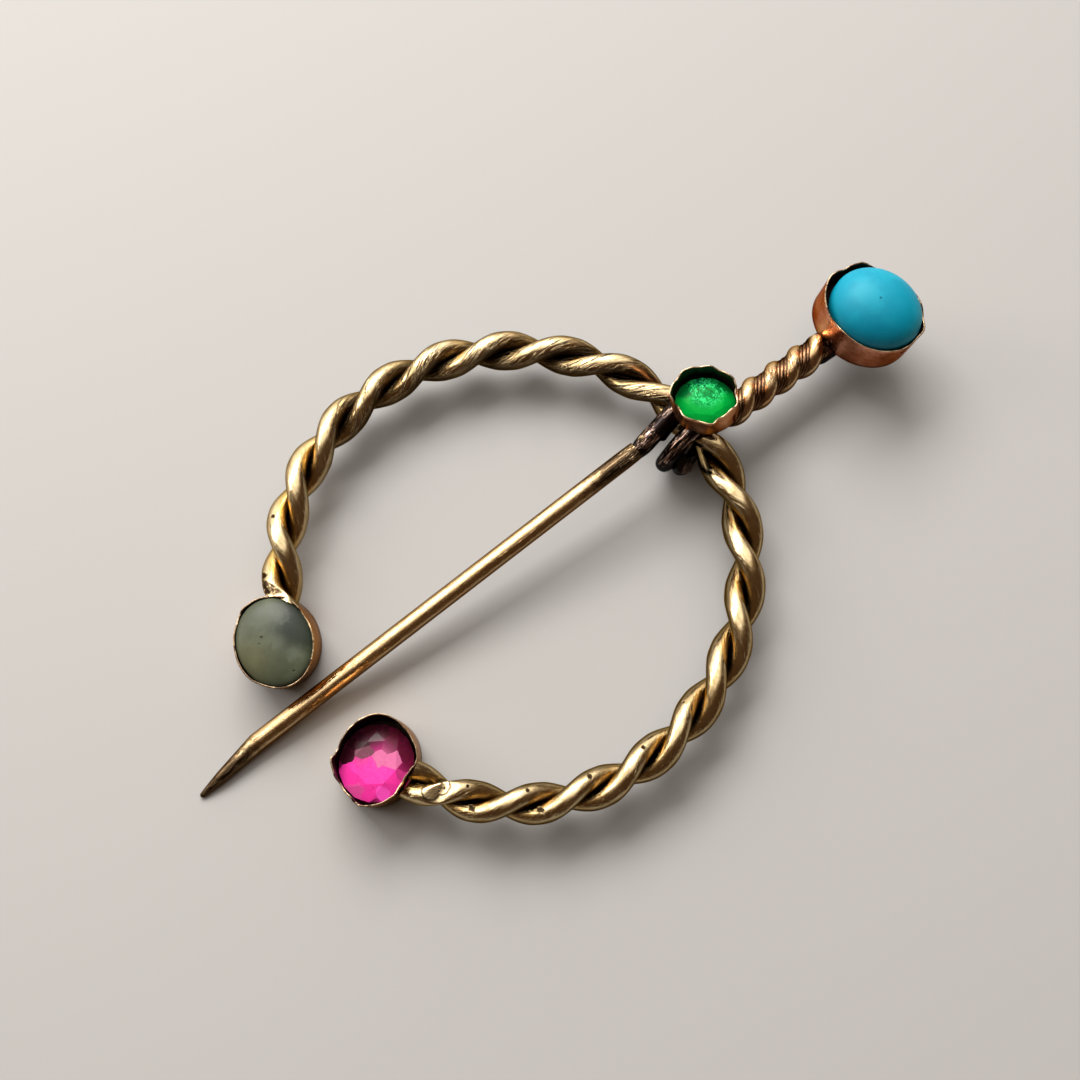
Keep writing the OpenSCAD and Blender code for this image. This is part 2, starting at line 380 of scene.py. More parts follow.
def makeUnderside():
    # How far a face looks down, for the painted shade on the lower flanks of the metal
    group, given, result = newGroup("underside", {"From": 0.2, "To": -0.6}, ["Mask"])
    parts = partsOf(group, addNode(group, "ShaderNodeTexCoord").outputs["Normal"])
    feed(group, result["Mask"], fadeOut(group, parts[2], given["To"], given["From"]))
    return group


groups = {
    "streaks": makeStreaks(),
    "grime": makeGrime(),
    "spot": makeSpot(),
    "underside": makeUnderside(),
}
print("shader groups made")


def newMaterial(name):
    material = bpy.data.materials.new(name)
    material.use_nodes = True
    return material, material.node_tree, material.node_tree.nodes["Principled BSDF"]


def addBump(tree, shader, height, distance):
    bump = addNode(tree, "ShaderNodeBump")
    feedAll(tree, bump, {"Strength": 1.0, "Distance": distance * mm, "Height": height})
    feed(tree, shader.inputs["Normal"], bump.outputs["Normal"])


def spotsMask(tree, spots, grow=0.0):
    # The strongest of several marks. Each is a row of x, y, z, radius, soft edge and raggedness.
    total = 0.0
    for x, y, z, radius, edge, ragged in spots:
        mask = useGroup(tree, "spot", Point=place(x, y, z), Radius=radius + grow, Edge=edge, Ragged=ragged)
        total = larger(tree, total, mask["Mask"])
    return total


def streakMask(tree, length, fineness, cut, seed):
    return useGroup(tree, "streaks", Length=length, Fineness=fineness, Cut=cut, Seed=seed)["Mask"]


# What all the wires share, under each wire's own values. Scratches of one kind are a length, a
# fineness, a cut and a seed. A share is how far a colour covers, and a dip how deep a mark goes.
drawnWire = {
    "tone": (0.35, 0.65),            # where in its clouds the metal goes from deep to pale
    "clouds": {"Size": 1.6, "Seed": 5.0},
    "fine": (0.9, 16.0, 0.50, 11.0),
    "scratch": (2.2, 4.5, 0.52, 20.0),
    "glintShare": 0.0,               # bright fine scratches on tarnished metal, painted as glints
    "glintClouds": (0.48, 0.56),
    "wornAndShaded": [],                      # where the metal is scratched through to the dark, and where its flanks and grooves take more painted shade
    "warmReflection": [],                      # painted warm reflection: paler metal, yellow down into the grooves, with less painted shade below
    "warmShare": 0.6,
    "warmShift": 0.35,
    # Tarnish marks, and painted shadow where one piece shades another
    "tarnishAndShadow": [],
    "tarnishAndShadowColour": (0.065, 0.043, 0.025),
    "tarnishAndShadowShare": 0.95,
    "tarnishAndShadowGlint": -0.6,            # fine scratches show through the tarnish and the painted shadow
    "shadedSideShare": 0.85,
    "flats": [],                     # bright hammered flats, each with a dark ring round it
    "flatShare": 0.8,
    "flatMarks": -0.5,
    "ringWidth": 0.16,
    "ringShare": 0.9,
    "pits": [],
    "coat": 0.0,
    "coatRough": 0.08,
    "markRough": 0.25,
    "fineRough": 0.03,
    "underRough": 0.08,
    "pitDip": -3.0,
    "scratchDip": -0.35,
    "fineDip": -0.04,
    "streakDip": -0.25,
    "bump": 0.05,
}


def goldWire(name, own):
    # Drawn gold wire: bright worn crowns, painted shade in the grooves and on the lower flanks (a painted
    # warm reflection in the hoop's grooves), scratches along it and patches of grime
    values = {**drawnWire, **own}
    material, tree, shader = newMaterial(name)
    crown = wireParts(tree)[1]
    groove = fadeOut(tree, crown, *values["groove"])
    cleft = fadeOut(tree, crown, *values["cleft"])
    under = useGroup(tree, "underside", From=values["under"][0], To=values["under"][1])["Mask"]
    cloud = useGroup(tree, "grime", **values["clouds"])["Cloud"]
    streak = streakMask(tree, *values["streak"])
    fine = streakMask(tree, *values["fine"])
    wornAndShaded = larger(tree, spotsMask(tree, values["wornAndShaded"]), values["wornAndShadedEverywhere"])
    scratch = times(tree, streakMask(tree, *values["scratch"]), wornAndShaded)
    pits = spotsMask(tree, values["pits"])
    warmReflection = spotsMask(tree, values["warmReflection"])
    glint = times(tree, fine, fade(tree, cloud, *values["glintClouds"]))
    base = mixColour(tree, fade(tree, cloud, *values["tone"]), values["deep"], values["pale"])
    base = tint(tree, base, values["pale"], glint, values["glintShare"])
    # Painted warm reflection: paler metal where the warm marks are
    base = tint(tree, base, values["pale"], warmReflection, values["warmShare"])
    # The grooves take the groove colour (painted shade, and on the hoop a painted warm reflection), and the
    # faces that look down take painted shade
    share = addUp(tree, values["grooveShare"], (warmReflection, values["warmShift"]))
    base = tint(tree, base, values["grooveColour"], groove, share)
    share = addUp(tree, values["underShare"], (warmReflection, -values["warmShift"]))
    base = tint(tree, base, values["underColour"], under, share)
    # Painted shade: in worn places the flanks and grooves go darker still, and the deepest cleft between
    # the wires goes dark
    side = times(tree, larger(tree, under, groove), wornAndShaded)
    base = tint(tree, base, values["dark"], side, values["shadedSideShare"])
    base = tint(tree, base, values["dark"], cleft, values["cleftShare"])
    # Tarnish, and painted shadow where one piece shades another
    share = addUp(tree, values["tarnishAndShadowShare"], (glint, values["tarnishAndShadowGlint"]))
    base = tint(tree, base, values["tarnishAndShadowColour"], spotsMask(tree, values["tarnishAndShadow"]), share)
    flat = spotsMask(tree, values["flats"])
    ring = maths(tree, "SUBTRACT", spotsMask(tree, values["flats"], values["ringWidth"]), flat)
    base = tint(tree, base, values["pale"], flat, values["flatShare"])
    marks = times(tree, scratch, values["wornShare"])
    marks = larger(tree, marks, times(tree, streak, values["streakShare"]))
    marks = times(tree, marks, addUp(tree, 1.0, (flat, values["flatMarks"])))
    marks = larger(tree, larger(tree, marks, pits), times(tree, ring, values["ringShare"]))
    feedAll(tree, shader, {
        "Base Color": mixColour(tree, marks, base, values["dark"]),
        "Metallic": 1.0,
        "Specular Tint": values["edge"],
        "Coat Weight": values["coat"],
        "Coat Roughness": values["coatRough"],
        "Roughness": addUp(tree, values["rough"], (marks, values["markRough"]),
                           (fine, values["fineRough"]), (under, values["underRough"])),
    })
    dip = addUp(tree, times(tree, scratch, values["scratchDip"]), (pits, values["pitDip"]),
                (fine, values["fineDip"]), (streak, values["streakDip"]), (cloud, values["waviness"]))
    addBump(tree, shader, dip, values["bump"])
    return material


# What the settings' walls share, under each wall's own values
rolledSheet = {
    "tone": (0.35, 0.65), "specks": {"Size": 0.35, "Cut": 0.62, "Softness": 0.05},
    "speckShare": 0.6, "speckSeed": 4.0, "under": {"From": 0.1, "To": -0.5}, "amber": [], "pits": [],
    "amberColour": (0.95, 0.52, 0.16), "markRough": 0.3, "markDip": -0.6, "waviness": 1.2, "bump": 0.05,
}


def goldSheet(name, own):
    # Thin rolled gold: rosy, softly streaked round the wall, darker towards its foot, with painted shade on
    # the faces that look down
    values = {**rolledSheet, **own}
    material, tree, shader = newMaterial(name)
    cloud = useGroup(tree, "grime", Size=values["cloudSize"], Seed=values["seed"])["Cloud"]
    speck = useGroup(tree, "grime", Seed=values["seed"] + values["speckSeed"], **values["specks"])["Mask"]
    under = useGroup(tree, "underside", **values["under"])["Mask"]
    height = maths(tree, "DIVIDE", partsOf(tree, objectPlace(tree))[2], mm)
    foot = fadeOut(tree, height, values["foot"], values["foot"] + values["footHeight"])
    base = mixColour(tree, fade(tree, cloud, *values["tone"]), values["deep"], values["pale"])
    base = tint(tree, base, values["dark"], foot, values["footShare"])
    base = mixColour(tree, spotsMask(tree, values["amber"]), base, values["amberColour"])
    marks = larger(tree, times(tree, speck, values["speckShare"]), spotsMask(tree, values["pits"]))
    # The dark colour goes on the specks and pits, and as painted shade on the faces that look down
    feedAll(tree, shader, {
        "Base Color": mixColour(tree, larger(tree, marks, under), base, values["dark"]),
        "Metallic": 1.0,
        "Specular Tint": values["edge"],
        "Roughness": addUp(tree, values["rough"], (marks, values["markRough"])),
    })
    dip = addUp(tree, 0.0, (marks, values["markDip"]), (cloud, values["waviness"]))
    addBump(tree, shader, dip, values["bump"])
    return material


# The thin worn rim of a setting, greyer than the walls, and its dull inside, painted nearly black as shade
rimGold = {
    "clouds": {"Size": 0.7, "Cut": 0.52, "Softness": 0.1, "Seed": 13.0}, "tone": (0.4, 0.6),
    "deep": (0.22, 0.155, 0.095), "pale": (0.50, 0.37, 0.23), "dark": (0.07, 0.042, 0.028),
    "metallic": 1.0, "rough": 0.22, "markRough": 0.2, "bump": 0.04,
}
shadedInsideGold = {
    "clouds": {"Size": 0.8, "Cut": 0.5, "Softness": 0.2, "Seed": 9.0},
    "deep": (0.010, 0.006, 0.004), "pale": (0.07, 0.04, 0.025),
    "metallic": 0.6, "rough": 0.42, "markRough": 0.2, "bump": 0.05,
}


def dullGold(name, values):
    material, tree, shader = newMaterial(name)
    cloud = useGroup(tree, "grime", **values["clouds"])
    tone = fade(tree, cloud["Cloud"], *values["tone"]) if "tone" in values else cloud["Cloud"]
    base = mixColour(tree, tone, values["deep"], values["pale"])
    if "dark" in values:
        base = mixColour(tree, cloud["Mask"], base, values["dark"])
    feedAll(tree, shader, {
        "Base Color": base,
        "Metallic": values["metallic"],
        "Roughness": addUp(tree, values["rough"], (cloud["Mask"], values["markRough"])),
    })
    addBump(tree, shader, cloud["Cloud"], values["bump"])
    return material


def setWirePlace(piece, points, outs, radius):
    # Stores for each vertex its distance along the wire and which side of it it is on
    path = [place(*point) for point in points]
    lengths = [0.0]
    for before, after in zip(path, path[1:]):
        lengths.append(lengths[-1] + (after - before).length / mm)
    tree = kdtree.KDTree(len(path))
    for index, point in enumerate(path):
        tree.insert(point, index)
    tree.balance()
    stored = piece.data.attributes.new("wirePlace", "FLOAT_VECTOR", "POINT")
    for vertex, value in zip(piece.data.vertices, stored.data):
        point, index, far = tree.find(vertex.co)
        before = path[max(index - 1, 0)]
        after = path[min(index + 1, len(path) - 1)]
        along = (after - before).normalized()
        side = vertex.co - point
        step = side.dot(along)
        side = (side - along * step) / (radius * mm)
        cross = along.cross(outs[index])
        value.vector = (lengths[index] + step / mm, side.dot(outs[index]), side.dot(cross))


def wireMesh(points, radii, sides):
    # A round wire through the points, in millimetres from the hoop's centre
    path = [place(*point) for point in points]
    deselectAll()
    bpy.ops.curve.primitive_nurbs_path_add()
    curve = bpy.context.object.data
    curve.splines.clear()
    spline = curve.splines.new("POLY")
    spline.points.add(len(path) - 1)
    for point, spot, radius in zip(spline.points, path, radii):
        point.co = (*spot, 1)
        point.radius = radius
    curve.dimensions = "3D"
    curve.bevel_depth = mm
    curve.bevel_resolution = (sides - 4) // 2  # a bevel of n gives 2n + 4 sides
    curve.use_fill_caps = True
    bpy.ops.object.convert(target="MESH")
    piece = bpy.context.object
    cleanMesh(piece)
    smooth(piece)
    return piece


# The hoop's two twisted wires
hoopWire = {
    "radius": 17.3,
    "bulge": 0.18,          # from a true circle, three times round
    "bulgeTurn": 6.7,
    "wireRadius": 0.775,
    "twistRadius": 0.77,    # from the twist's middle to each wire's middle
    "turn": 31.13,          # degrees of the hoop for one turn of the twist
    "firstCrossing": 135.5,
    "drift": 2.2,
    "start": 147.8,
    "end": -149.3,
    "runOn": 6.0,
    "ringsPerTurn": 48,
    "sides": 32,
    "uneven": 0.02,         # how much the wire's thickness wanders
    "wander": 0.12,         # how often, along the wire
    "wireApart": 7.0,       # so that the two wires wander in their own ways
    "wear": 1.49,           # the crowns are worn down to about this far from the twist's middle
    "wearLeft": 0.45,       # the share of a crown that still stands out past that
    # Where the wires are hammered flat against the end settings
    "dents": [
        {"at": (-14.57, -9.35, 4.15), "facing": (0.15, -0.25, 1), "radius": 1.7, "move": (0, 0, 0)},
        {"at": (-14.68, 9.48, 4.20), "facing": (-0.3, -0.1, 1), "radius": 1.5, "move": (-0.22, 0.18, 0)},
    ],
    "flatness": 2.5,        # how sharply a hammered place turns flat
}


def hoopRadius(angle):
    bulge = math.cos(math.radians(3 * (angle + hoopWire["bulgeTurn"])))
    return hoopWire["radius"] + hoopWire["bulge"] * bulge


def hoopMiddle(angle):
    # The middle of the twist at an angle round the hoop
    around = math.radians(angle)
    return Vector((hoopRadius(angle) * math.cos(around), hoopRadius(angle) * math.sin(around), hoopZ))


def hoopTwist(angle):
    arc = hoopWire["start"] - hoopWire["end"]
    drift = hoopWire["drift"] * math.sin(math.radians(360 * (hoopWire["start"] - angle) / arc))
    return 90 + 360 / hoopWire["turn"] * (angle - hoopWire["firstCrossing"] - drift)


def makeHoopWire(side, material):
    values = hoopWire
    first = values["start"] + values["runOn"]
    last = values["end"] - values["runOn"]
    steps = round((first - last) / values["turn"] * values["ringsPerTurn"])
    points, outs, radii = [], [], []
    for step in range(steps + 1):
        angle = first + (last - first) * step / steps
        turn = math.radians(hoopTwist(angle) + 180 * side)
        around = math.radians(angle)
        out = Vector((math.cos(turn) * math.cos(around), math.cos(turn) * math.sin(around), math.sin(turn)))
        wander = noise.noise(Vector((angle * values["wander"], side * values["wireApart"], 2.0)))
        points.append(hoopMiddle(angle) + out * values["twistRadius"])
        outs.append(out)
        radii.append(values["wireRadius"] * (1 + values["uneven"] * wander))
    piece = wireMesh(points, radii, values["sides"])
    for vertex in piece.data.vertices:
        flat = (vertex.co - hoopCentre) / mm
        middle = hoopMiddle(math.degrees(math.atan2(flat.y, flat.x)))
        away = flat - middle
        extra = away.length - values["wear"]
        if extra > 0:
            flat = middle + away.normalized() * (values["wear"] + extra * values["wearLeft"])
            vertex.co = hoopCentre + flat * mm
    for dent in values["dents"]:
        pressWire(piece, dent)
    for name in ("grey_green_setting", "pink_setting"):
        cutBySetting(piece, name)
    setWirePlace(piece, points, outs, values["wireRadius"])
    smooth(piece)
    fit(piece, f"hoop_wire_{side + 1}", material, *hoopMetal)


def pressWire(piece, dent):
    # Hammers the metal near a place down to a plane through it, and moves it bodily
    at = place(*dent["at"])
    facing = Vector(dent["facing"]).normalized()
    for vertex in piece.data.vertices:
        share = 1 - (vertex.co - at).length / (dent["radius"] * mm)
        if share <= 0:
            continue
        share = share * share * (3 - 2 * share)
        proud = (vertex.co - at).dot(facing)
        if proud > 0:
            vertex.co -= facing * proud * min(1.0, hoopWire["flatness"] * share)
        vertex.co += Vector(dent["move"]) * share * mm


# What is cut out of the hoop's wires: a setting's inside, carried on below and above it
settingCore = {"sides": 64, "inset": 0.03, "below": 1.0, "reach": 1.4}


def cutBySetting(piece, name):
    # The wires are soldered to a setting's wall and don't run on inside it
    values = settings[name]
    deselectAll()
    bpy.ops.mesh.primitive_circle_add(
        vertices=settingCore["sides"], radius=mm, fill_type="NGON",
        location=place(*values["at"], -settingCore["below"]), rotation=(0, 0, math.radians(values["turn"])))
    core = bpy.context.object
    core.scale = (*[half - settingCore["inset"] for half in values["halfSizes"]], 1)
    applyPlace(core)
    editAll()
    extrude(Vector((*values["lean"], values["height"])) * settingCore["reach"] * mm)
    stopEditing()
    cleanMesh(core)
    applyModifier(piece, "BOOLEAN", object=core, operation="DIFFERENCE", solver="EXACT")
    removePiece(core)


# The settings: thin walls with a worn, wavy rim. The rim is a list of places round it, each an
# angle and how far it stands out there; a sag is an angle, a half width and how far down.
settings = {
    "grey_green_setting": {
        "at": (-16.96, 6.93), "foot": 0.0, "height": 4.4, "halfSizes": (3.5, 2.94), "turn": 70.2,
        "lean": (-0.36, -0.65),
        "rim": [(18, 0.0), (31, 0.10), (40, 0.0), (52, -0.10), (73, -0.02), (107, 0.05), (125, 0.06),
                (144, -0.02), (185, 0.02), (210, 0.03), (235, -0.02), (269, -0.04), (289, -0.08),
                (308, 0.03), (326, 0.05), (347, -0.04)],
        "sags": [(40, 8, 0.10), (144, 14, 0.08), (200, 16, 0.06), (289, 14, 0.12), (350, 10, 0.06)],
    },
    "pink_setting": {
        "at": (-16.60, -4.97), "foot": 0.0, "height": 4.4, "halfSizes": (3.34, 2.96), "turn": 26.7,
        "lean": (-0.12, -0.08),
        "rim": [(14, 0.0), (28, 0.02), (49, -0.04), (65, -0.10), (80, -0.15), (97, -0.22), (104, -0.12),
                (111, 0.12), (132, -0.05), (149, -0.26), (172, -0.20), (181, 0.0), (190, 0.13),
                (211, 0.05), (236, -0.08), (254, -0.30), (265, -0.35), (278, -0.20), (286, 0.05),
                (295, 0.12), (305, 0.05), (322, -0.08), (339, -0.13), (359, -0.06)],
        "sags": [(97, 8, 0.16), (149, 14, 0.15), (182, 4, 0.25), (260, 14, 0.18), (330, 14, 0.10),
                 (60, 4, 0.10)],
    },
    "green_setting": {
        "at": (18.48, 0.34), "foot": 5.699, "height": 2.6, "halfSizes": (2.52, 2.26), "turn": -39.8,
        "lean": (-0.26, 0.20),
        "rim": [(6, -0.18), (20, 0.0), (36, 0.12), (50, 0.02), (63, -0.05), (80, 0.03), (98, -0.06),
                (112, 0.02), (128, 0.07), (146, -0.09), (165, 0.02), (181, 0.09), (196, -0.10),
                (211, -0.28), (233, -0.03), (258, -0.14), (282, 0.13), (299, -0.20), (323, -0.18),
                (342, 0.03)],
        "sags": [(6, 12, 0.16), (63, 10, 0.10), (98, 10, 0.08), (146, 10, 0.12), (211, 12, 0.22),
                 (258, 9, 0.12), (305, 12, 0.18)],
    },
    "turquoise_setting": {
        "at": (32.64, -1.68), "foot": 3.825, "height": 3.3, "halfSizes": (4.02, 3.24), "turn": 101.6,
        "lean": (0.46, -0.17),
        "rim": [(5, 0.06), (19, 0.05), (45, 0.08), (58, 0.12), (69, 0.0), (80, 0.04), (104, 0.10),
                (131, 0.13), (149, 0.11), (163, 0.03), (179, -0.05), (194, 0.08), (213, -0.12),
                (233, -0.10), (247, -0.10), (265, -0.22), (302, -0.22), (317, 0.02), (327, -0.10),
                (342, -0.22), (353, -0.05)],
        "sags": [(275, 26, 0.9), (342, 10, 0.15), (69, 8, 0.15), (179, 12, 0.12), (213, 12, 0.20)],
    },
}
settingWall = {
    "thickness": 0.12, "sides": 144, "rings": 9, "edge": 0.03, "edgeSteps": 2, "edgeAngle": 40,
    "waveFade": 1.5, "sagFade": 2, "soft": 0.03, "softScale": 0.6, "softRise": 2,
}


def rimAt(rim, angle):
    # Runs smoothly from one place on the rim to the next
    places = [(rim[-1][0] - 360, rim[-1][1]), *rim, (rim[0][0] + 360, rim[0][1])]
    for before, after in zip(places, places[1:]):
        if before[0] <= angle < after[0]:
            share = (angle - before[0]) / (after[0] - before[0])
            share = (1 - math.cos(math.pi * share)) / 2
            return before[1] + (after[1] - before[1]) * share
    return 0.0


def sagAt(sags, angle):
    total = 0.0
    for centre, width, depth in sags:
        away = (angle - centre + 180) % 360 - 180
        total += depth * math.exp(-((away / width) ** 2))
    return total


def makeSetting(name, outside, body, node, slot):
    values = settings[name]
    turn = math.radians(values["turn"])
    deselectAll()
    bpy.ops.mesh.primitive_circle_add(
        vertices=settingWall["sides"], radius=mm, fill_type="NGON",
        location=place(*values["at"], values["foot"]), rotation=(0, 0, turn))
    piece = bpy.context.object
    piece.scale = (*values["halfSizes"], 1)
    applyPlace(piece)
    editAll()
    step = Vector((*values["lean"], values["height"])) / settingWall["rings"] * mm
    for ring in range(settingWall["rings"]):
        extrude(step)
    bpy.ops.mesh.delete(type="ONLY_FACE")
    stopEditing()
    # The rim's waves die away down the wall
    for vertex in piece.data.vertices:
        share = (vertex.co.z / mm - values["foot"]) / values["height"]
        middle = Vector(values["at"]) + Vector(values["lean"]) * share
        flat = Vector((vertex.co.x - hoopCentre.x, vertex.co.y)) / mm - middle
        local = Vector((flat.x * math.cos(turn) + flat.y * math.sin(turn),
                        flat.y * math.cos(turn) - flat.x * math.sin(turn)))
        angle = math.degrees(math.atan2(local.y / values["halfSizes"][1], local.x / values["halfSizes"][0]))
        out = rimAt(values["rim"], angle % 360) * share ** settingWall["waveFade"]
        up = -sagAt(values["sags"], angle) * share ** settingWall["sagFade"]
        softPlace = (*flat * settingWall["softScale"], share * settingWall["softRise"] + values["at"][0])
        dent = settingWall["soft"] * noise.noise(Vector(softPlace))
        move = flat.normalized() * (out + dent)
        vertex.co += Vector((move.x, move.y, up)) * mm
    cleanMesh(piece)
    for material in (outside, materials["inside"], materials["rim"]):
        piece.data.materials.append(material)
    applyModifier(piece, "SOLIDIFY", thickness=settingWall["thickness"] * mm, offset=-1.0,
                  material_offset=1, material_offset_rim=2, use_even_offset=True)
    bevel(piece, settingWall["edge"], settingWall["edgeSteps"], settingWall["edgeAngle"])
    smooth(piece, angle=40)
    fit(piece, name, outside, body, node, slot)


def settingMiddle(name, height, shift):
    # The middle of a leaning setting at a height, moved by a stone's own shift
    values = settings[name]
    share = (height - values["foot"]) / values["height"]
    return [values["at"][side] + values["lean"][side] * share + shift[side] for side in (0, 1)]


# The domed stones
domes = {
    "grey_green_dome": {"setting": "grey_green_setting", "halfSizes": (3.33, 2.78), "girdle": 4.14,
                        "rise": 0.82, "foot": 2.4, "shift": (0.0, -0.04), "turn": 70.2},
    "turquoise_dome": {"setting": "turquoise_setting", "halfSizes": (3.56, 3.06), "girdle": 6.88,
                       "rise": 2.06, "foot": 6.2, "shift": (-0.02, -0.24), "turn": 101.6},
}
domeShape = {"segments": 96, "rings": 48, "skirtRings": 3}


def makeDome(name, material, body, node, slot):
    values = domes[name]
    holder = settings[values["setting"]]
    middle = place(*settingMiddle(values["setting"], values["girdle"], values["shift"]), values["girdle"])
    deselectAll()
    bpy.ops.mesh.primitive_uv_sphere_add(
        segments=domeShape["segments"], ring_count=domeShape["rings"], radius=mm,
        location=middle, rotation=(0, 0, math.radians(values["turn"])))
    piece = bpy.context.object
    piece.scale = (*values["halfSizes"], values["rise"])
    applyPlace(piece)
    editAll()
    bpy.ops.mesh.bisect(plane_co=middle, plane_no=(0, 0, 1), clear_inner=True, use_fill=False)
    bpy.ops.mesh.select_all(action="DESELECT")
    bpy.ops.mesh.select_non_manifold(extend=False, use_wire=False, use_boundary=True)
    drop = values["foot"] - values["girdle"]
    share = drop / holder["height"] / domeShape["skirtRings"]
    step = Vector((*holder["lean"], holder["height"])) * share * mm
    for ring in range(domeShape["skirtRings"]):
        extrude(step)
    bpy.ops.mesh.edge_face_add()
    stopEditing()
    cleanMesh(piece)
    smooth(piece)
    fit(piece, name, material, body, node, slot)


# The cut stones: rings of corners from the table down to the culet, joined by their hull.
# Each ring is a radius, a height above the girdle, a number of corners and their turn.
cutStones = {
    "pink_cut_stone": {"setting": "pink_setting", "radius": 2.72, "seat": 2.54, "turn": 8,
                       "stretch": 1.06, "shift": (-0.12, -0.16), "smooth": 4,
                       "rings": [(0.58, 0.95, 8, 22.5), (0.80, 0.66, 8, 0), (1.0, 0.33, 16, 11.25),
                                 (1.0, 0.15, 16, 11.25), (0.42, -0.9, 8, 0), (0.08, -1.25, 8, 22.5)]},
    "green_cut_stone": {"setting": "green_setting", "radius": 1.97, "seat": 6.45, "turn": 0,
                        "stretch": 1.15, "shift": (-0.09, -0.09), "smooth": 60,
                        "rings": [(0.60, 0.85, 8, 22.5), (0.82, 0.58, 8, 0), (1.0, 0.28, 16, 11.25),
                                  (1.0, 0.12, 16, 11.25), (0.4, -0.25, 8, 0)]},
}
facetEdge = {"width": 0.02, "steps": 1, "angle": 12}


def makeCutStone(name, material, body, node, slot):
    values = cutStones[name]
    middle = settingMiddle(values["setting"], values["seat"], values["shift"])
    deselectAll()
    rings = []
    for radius, height, corners, turn in values["rings"]:
        bpy.ops.mesh.primitive_circle_add(
            vertices=corners, radius=radius * values["radius"] * mm,
            location=place(*middle, values["seat"] + height),
            rotation=(0, 0, math.radians(turn + values["turn"])))
        rings.append(bpy.context.object)
    deselectAll()
    for ring in rings:
        ring.select_set(True)
    bpy.context.view_layer.objects.active = rings[0]
    bpy.ops.object.join()
    piece = bpy.context.object
    applyPlace(piece)
    turn = math.radians(settings[values["setting"]]["turn"])
    heading = Vector((math.cos(turn), math.sin(turn), 0))
    for vertex in piece.data.vertices:
        reach = (vertex.co - place(*middle, 0)).dot(heading)
        vertex.co += heading * reach * (values["stretch"] - 1)
    editAll()
    bpy.ops.mesh.convex_hull()
    bpy.ops.mesh.tris_convert_to_quads()
    stopEditing()
    cleanMesh(piece)
    bevel(piece, facetEdge["width"], facetEdge["steps"], facetEdge["angle"])
    smooth(piece, values["smooth"])
    fit(piece, name, material, body, node, slot)


# The needle, from its blunt point to its root in the coil
needle = {
    "tip": (-28.3, 1.32, 0.20), "nose": (-26.4, 1.493, 0.46), "low": (-22.9, 1.84, 0.73),
    "top": (17.4196, 0.88, 5.479),
    "tipRadius": 0.2, "noseRadius": 0.46, "radius": 0.73, "rootRadius": 0.54, "rootLength": 6.0,
    "noseSwell": 0.9,       # under one, the nose widens quickly behind the tip
    "endsAt": 0.876,        # the share of the way to the top at which the root's end is rounded off
    "roundedEnd": [(0.12, 0.50), (0.24, 0.42), (0.32, 0.30)],  # how far past the end, and the radius
    "facing": (-0.1, 0, 1),
    "tipRings": 6, "noseRings": 12, "taperRings": 24, "rings": 144, "sides": 32,
}


def makeNeedle(material):
    values = needle
    tip, nose, low, top = [Vector(values[name]) for name in ("tip", "nose", "low", "top")]
    points, radii = [], []

    def carryOn(start, end, fromRadius, toRadius, rings, power=1.0):
        for step in range(1, rings + 1):
            points.append(start.lerp(end, step / rings))
            radii.append(fromRadius + (toRadius - fromRadius) * (step / rings) ** power)

    for step in range(values["tipRings"] + 1):
        turn = math.radians(90 * step / values["tipRings"])
        points.append(tip - (nose - tip).normalized() * values["tipRadius"] * math.cos(turn))
        radii.append(values["tipRadius"] * max(math.sin(turn), 0.03))  # a ring can't have no size
    carryOn(tip, nose, values["tipRadius"], values["noseRadius"], values["noseRings"], values["noseSwell"])
    carryOn(nose, low, values["noseRadius"], values["radius"], values["taperRings"])
    end = low.lerp(top, values["endsAt"])
    for step in range(1, values["rings"] + 1):
        point = low.lerp(end, step / values["rings"])
        thin = max(0.0, 1 - (top - point).length / values["rootLength"])
        points.append(point)
        radii.append(values["radius"] + (values["rootRadius"] - values["radius"]) * thin)
    for step, radius in values["roundedEnd"]:
        points.append(end + (top - low).normalized() * step)
        radii.append(radius)
    outs = [Vector(values["facing"]).normalized()] * len(points)
    piece = wireMesh(points, radii, values["sides"])
    setWirePlace(piece, points, outs, values["radius"])
    fit(piece, "needle", material, *pinMetal)


# The coil that rides on the hoop. Its wire runs from its cut end, on the hoop's inside, down and
# under it; across and loose are the place along the hoop and how far a loose turn stands out.
coil = {
    "middleX": 17.172, "wide": 2.8245, "high": 2.3445, "wireRadius": 0.68, "from": -15, "to": 690,
    "across": [(-180, -3.5), (0, -1.75), (180, 0), (360, -0.9), (540, 1.6), (720, 0.95)],
    "loose": [(-180, 0), (0, -0.45), (180, 0), (360, 0.45), (540, 0), (720, 0)],
    "soften": [-30, -15, 0, 15, 30], "steps": 150, "sides": 28,
}


def readTable(rows, at):
    for before, after in zip(rows, rows[1:]):
        if at <= after[0]:
            return before[1] + (after[1] - before[1]) * (at - before[0]) / (after[0] - before[0])
    return rows[-1][1]


def readSoftly(rows, at, spread):
    return sum(readTable(rows, at + away) for away in spread) / len(spread)


def makeCoil(material):
    values = coil
    points, outs = [], []
    for step in range(values["steps"] + 1):
        turn = values["from"] + (values["to"] - values["from"]) * step / values["steps"]
        out = Vector((-math.cos(math.radians(turn)), 0, -math.sin(math.radians(turn))))
        wide = values["wide"] + readSoftly(values["loose"], turn, values["soften"])
        points.append(Vector((values["middleX"] + wide * out.x,
                              readSoftly(values["across"], turn, values["soften"]),
                              hoopZ + values["high"] * out.z)))
        outs.append(out)
    piece = wireMesh(points, [values["wireRadius"]] * len(points), values["sides"])
    setWirePlace(piece, points, outs, values["wireRadius"])
    fit(piece, "coil", material, *pinMetal)


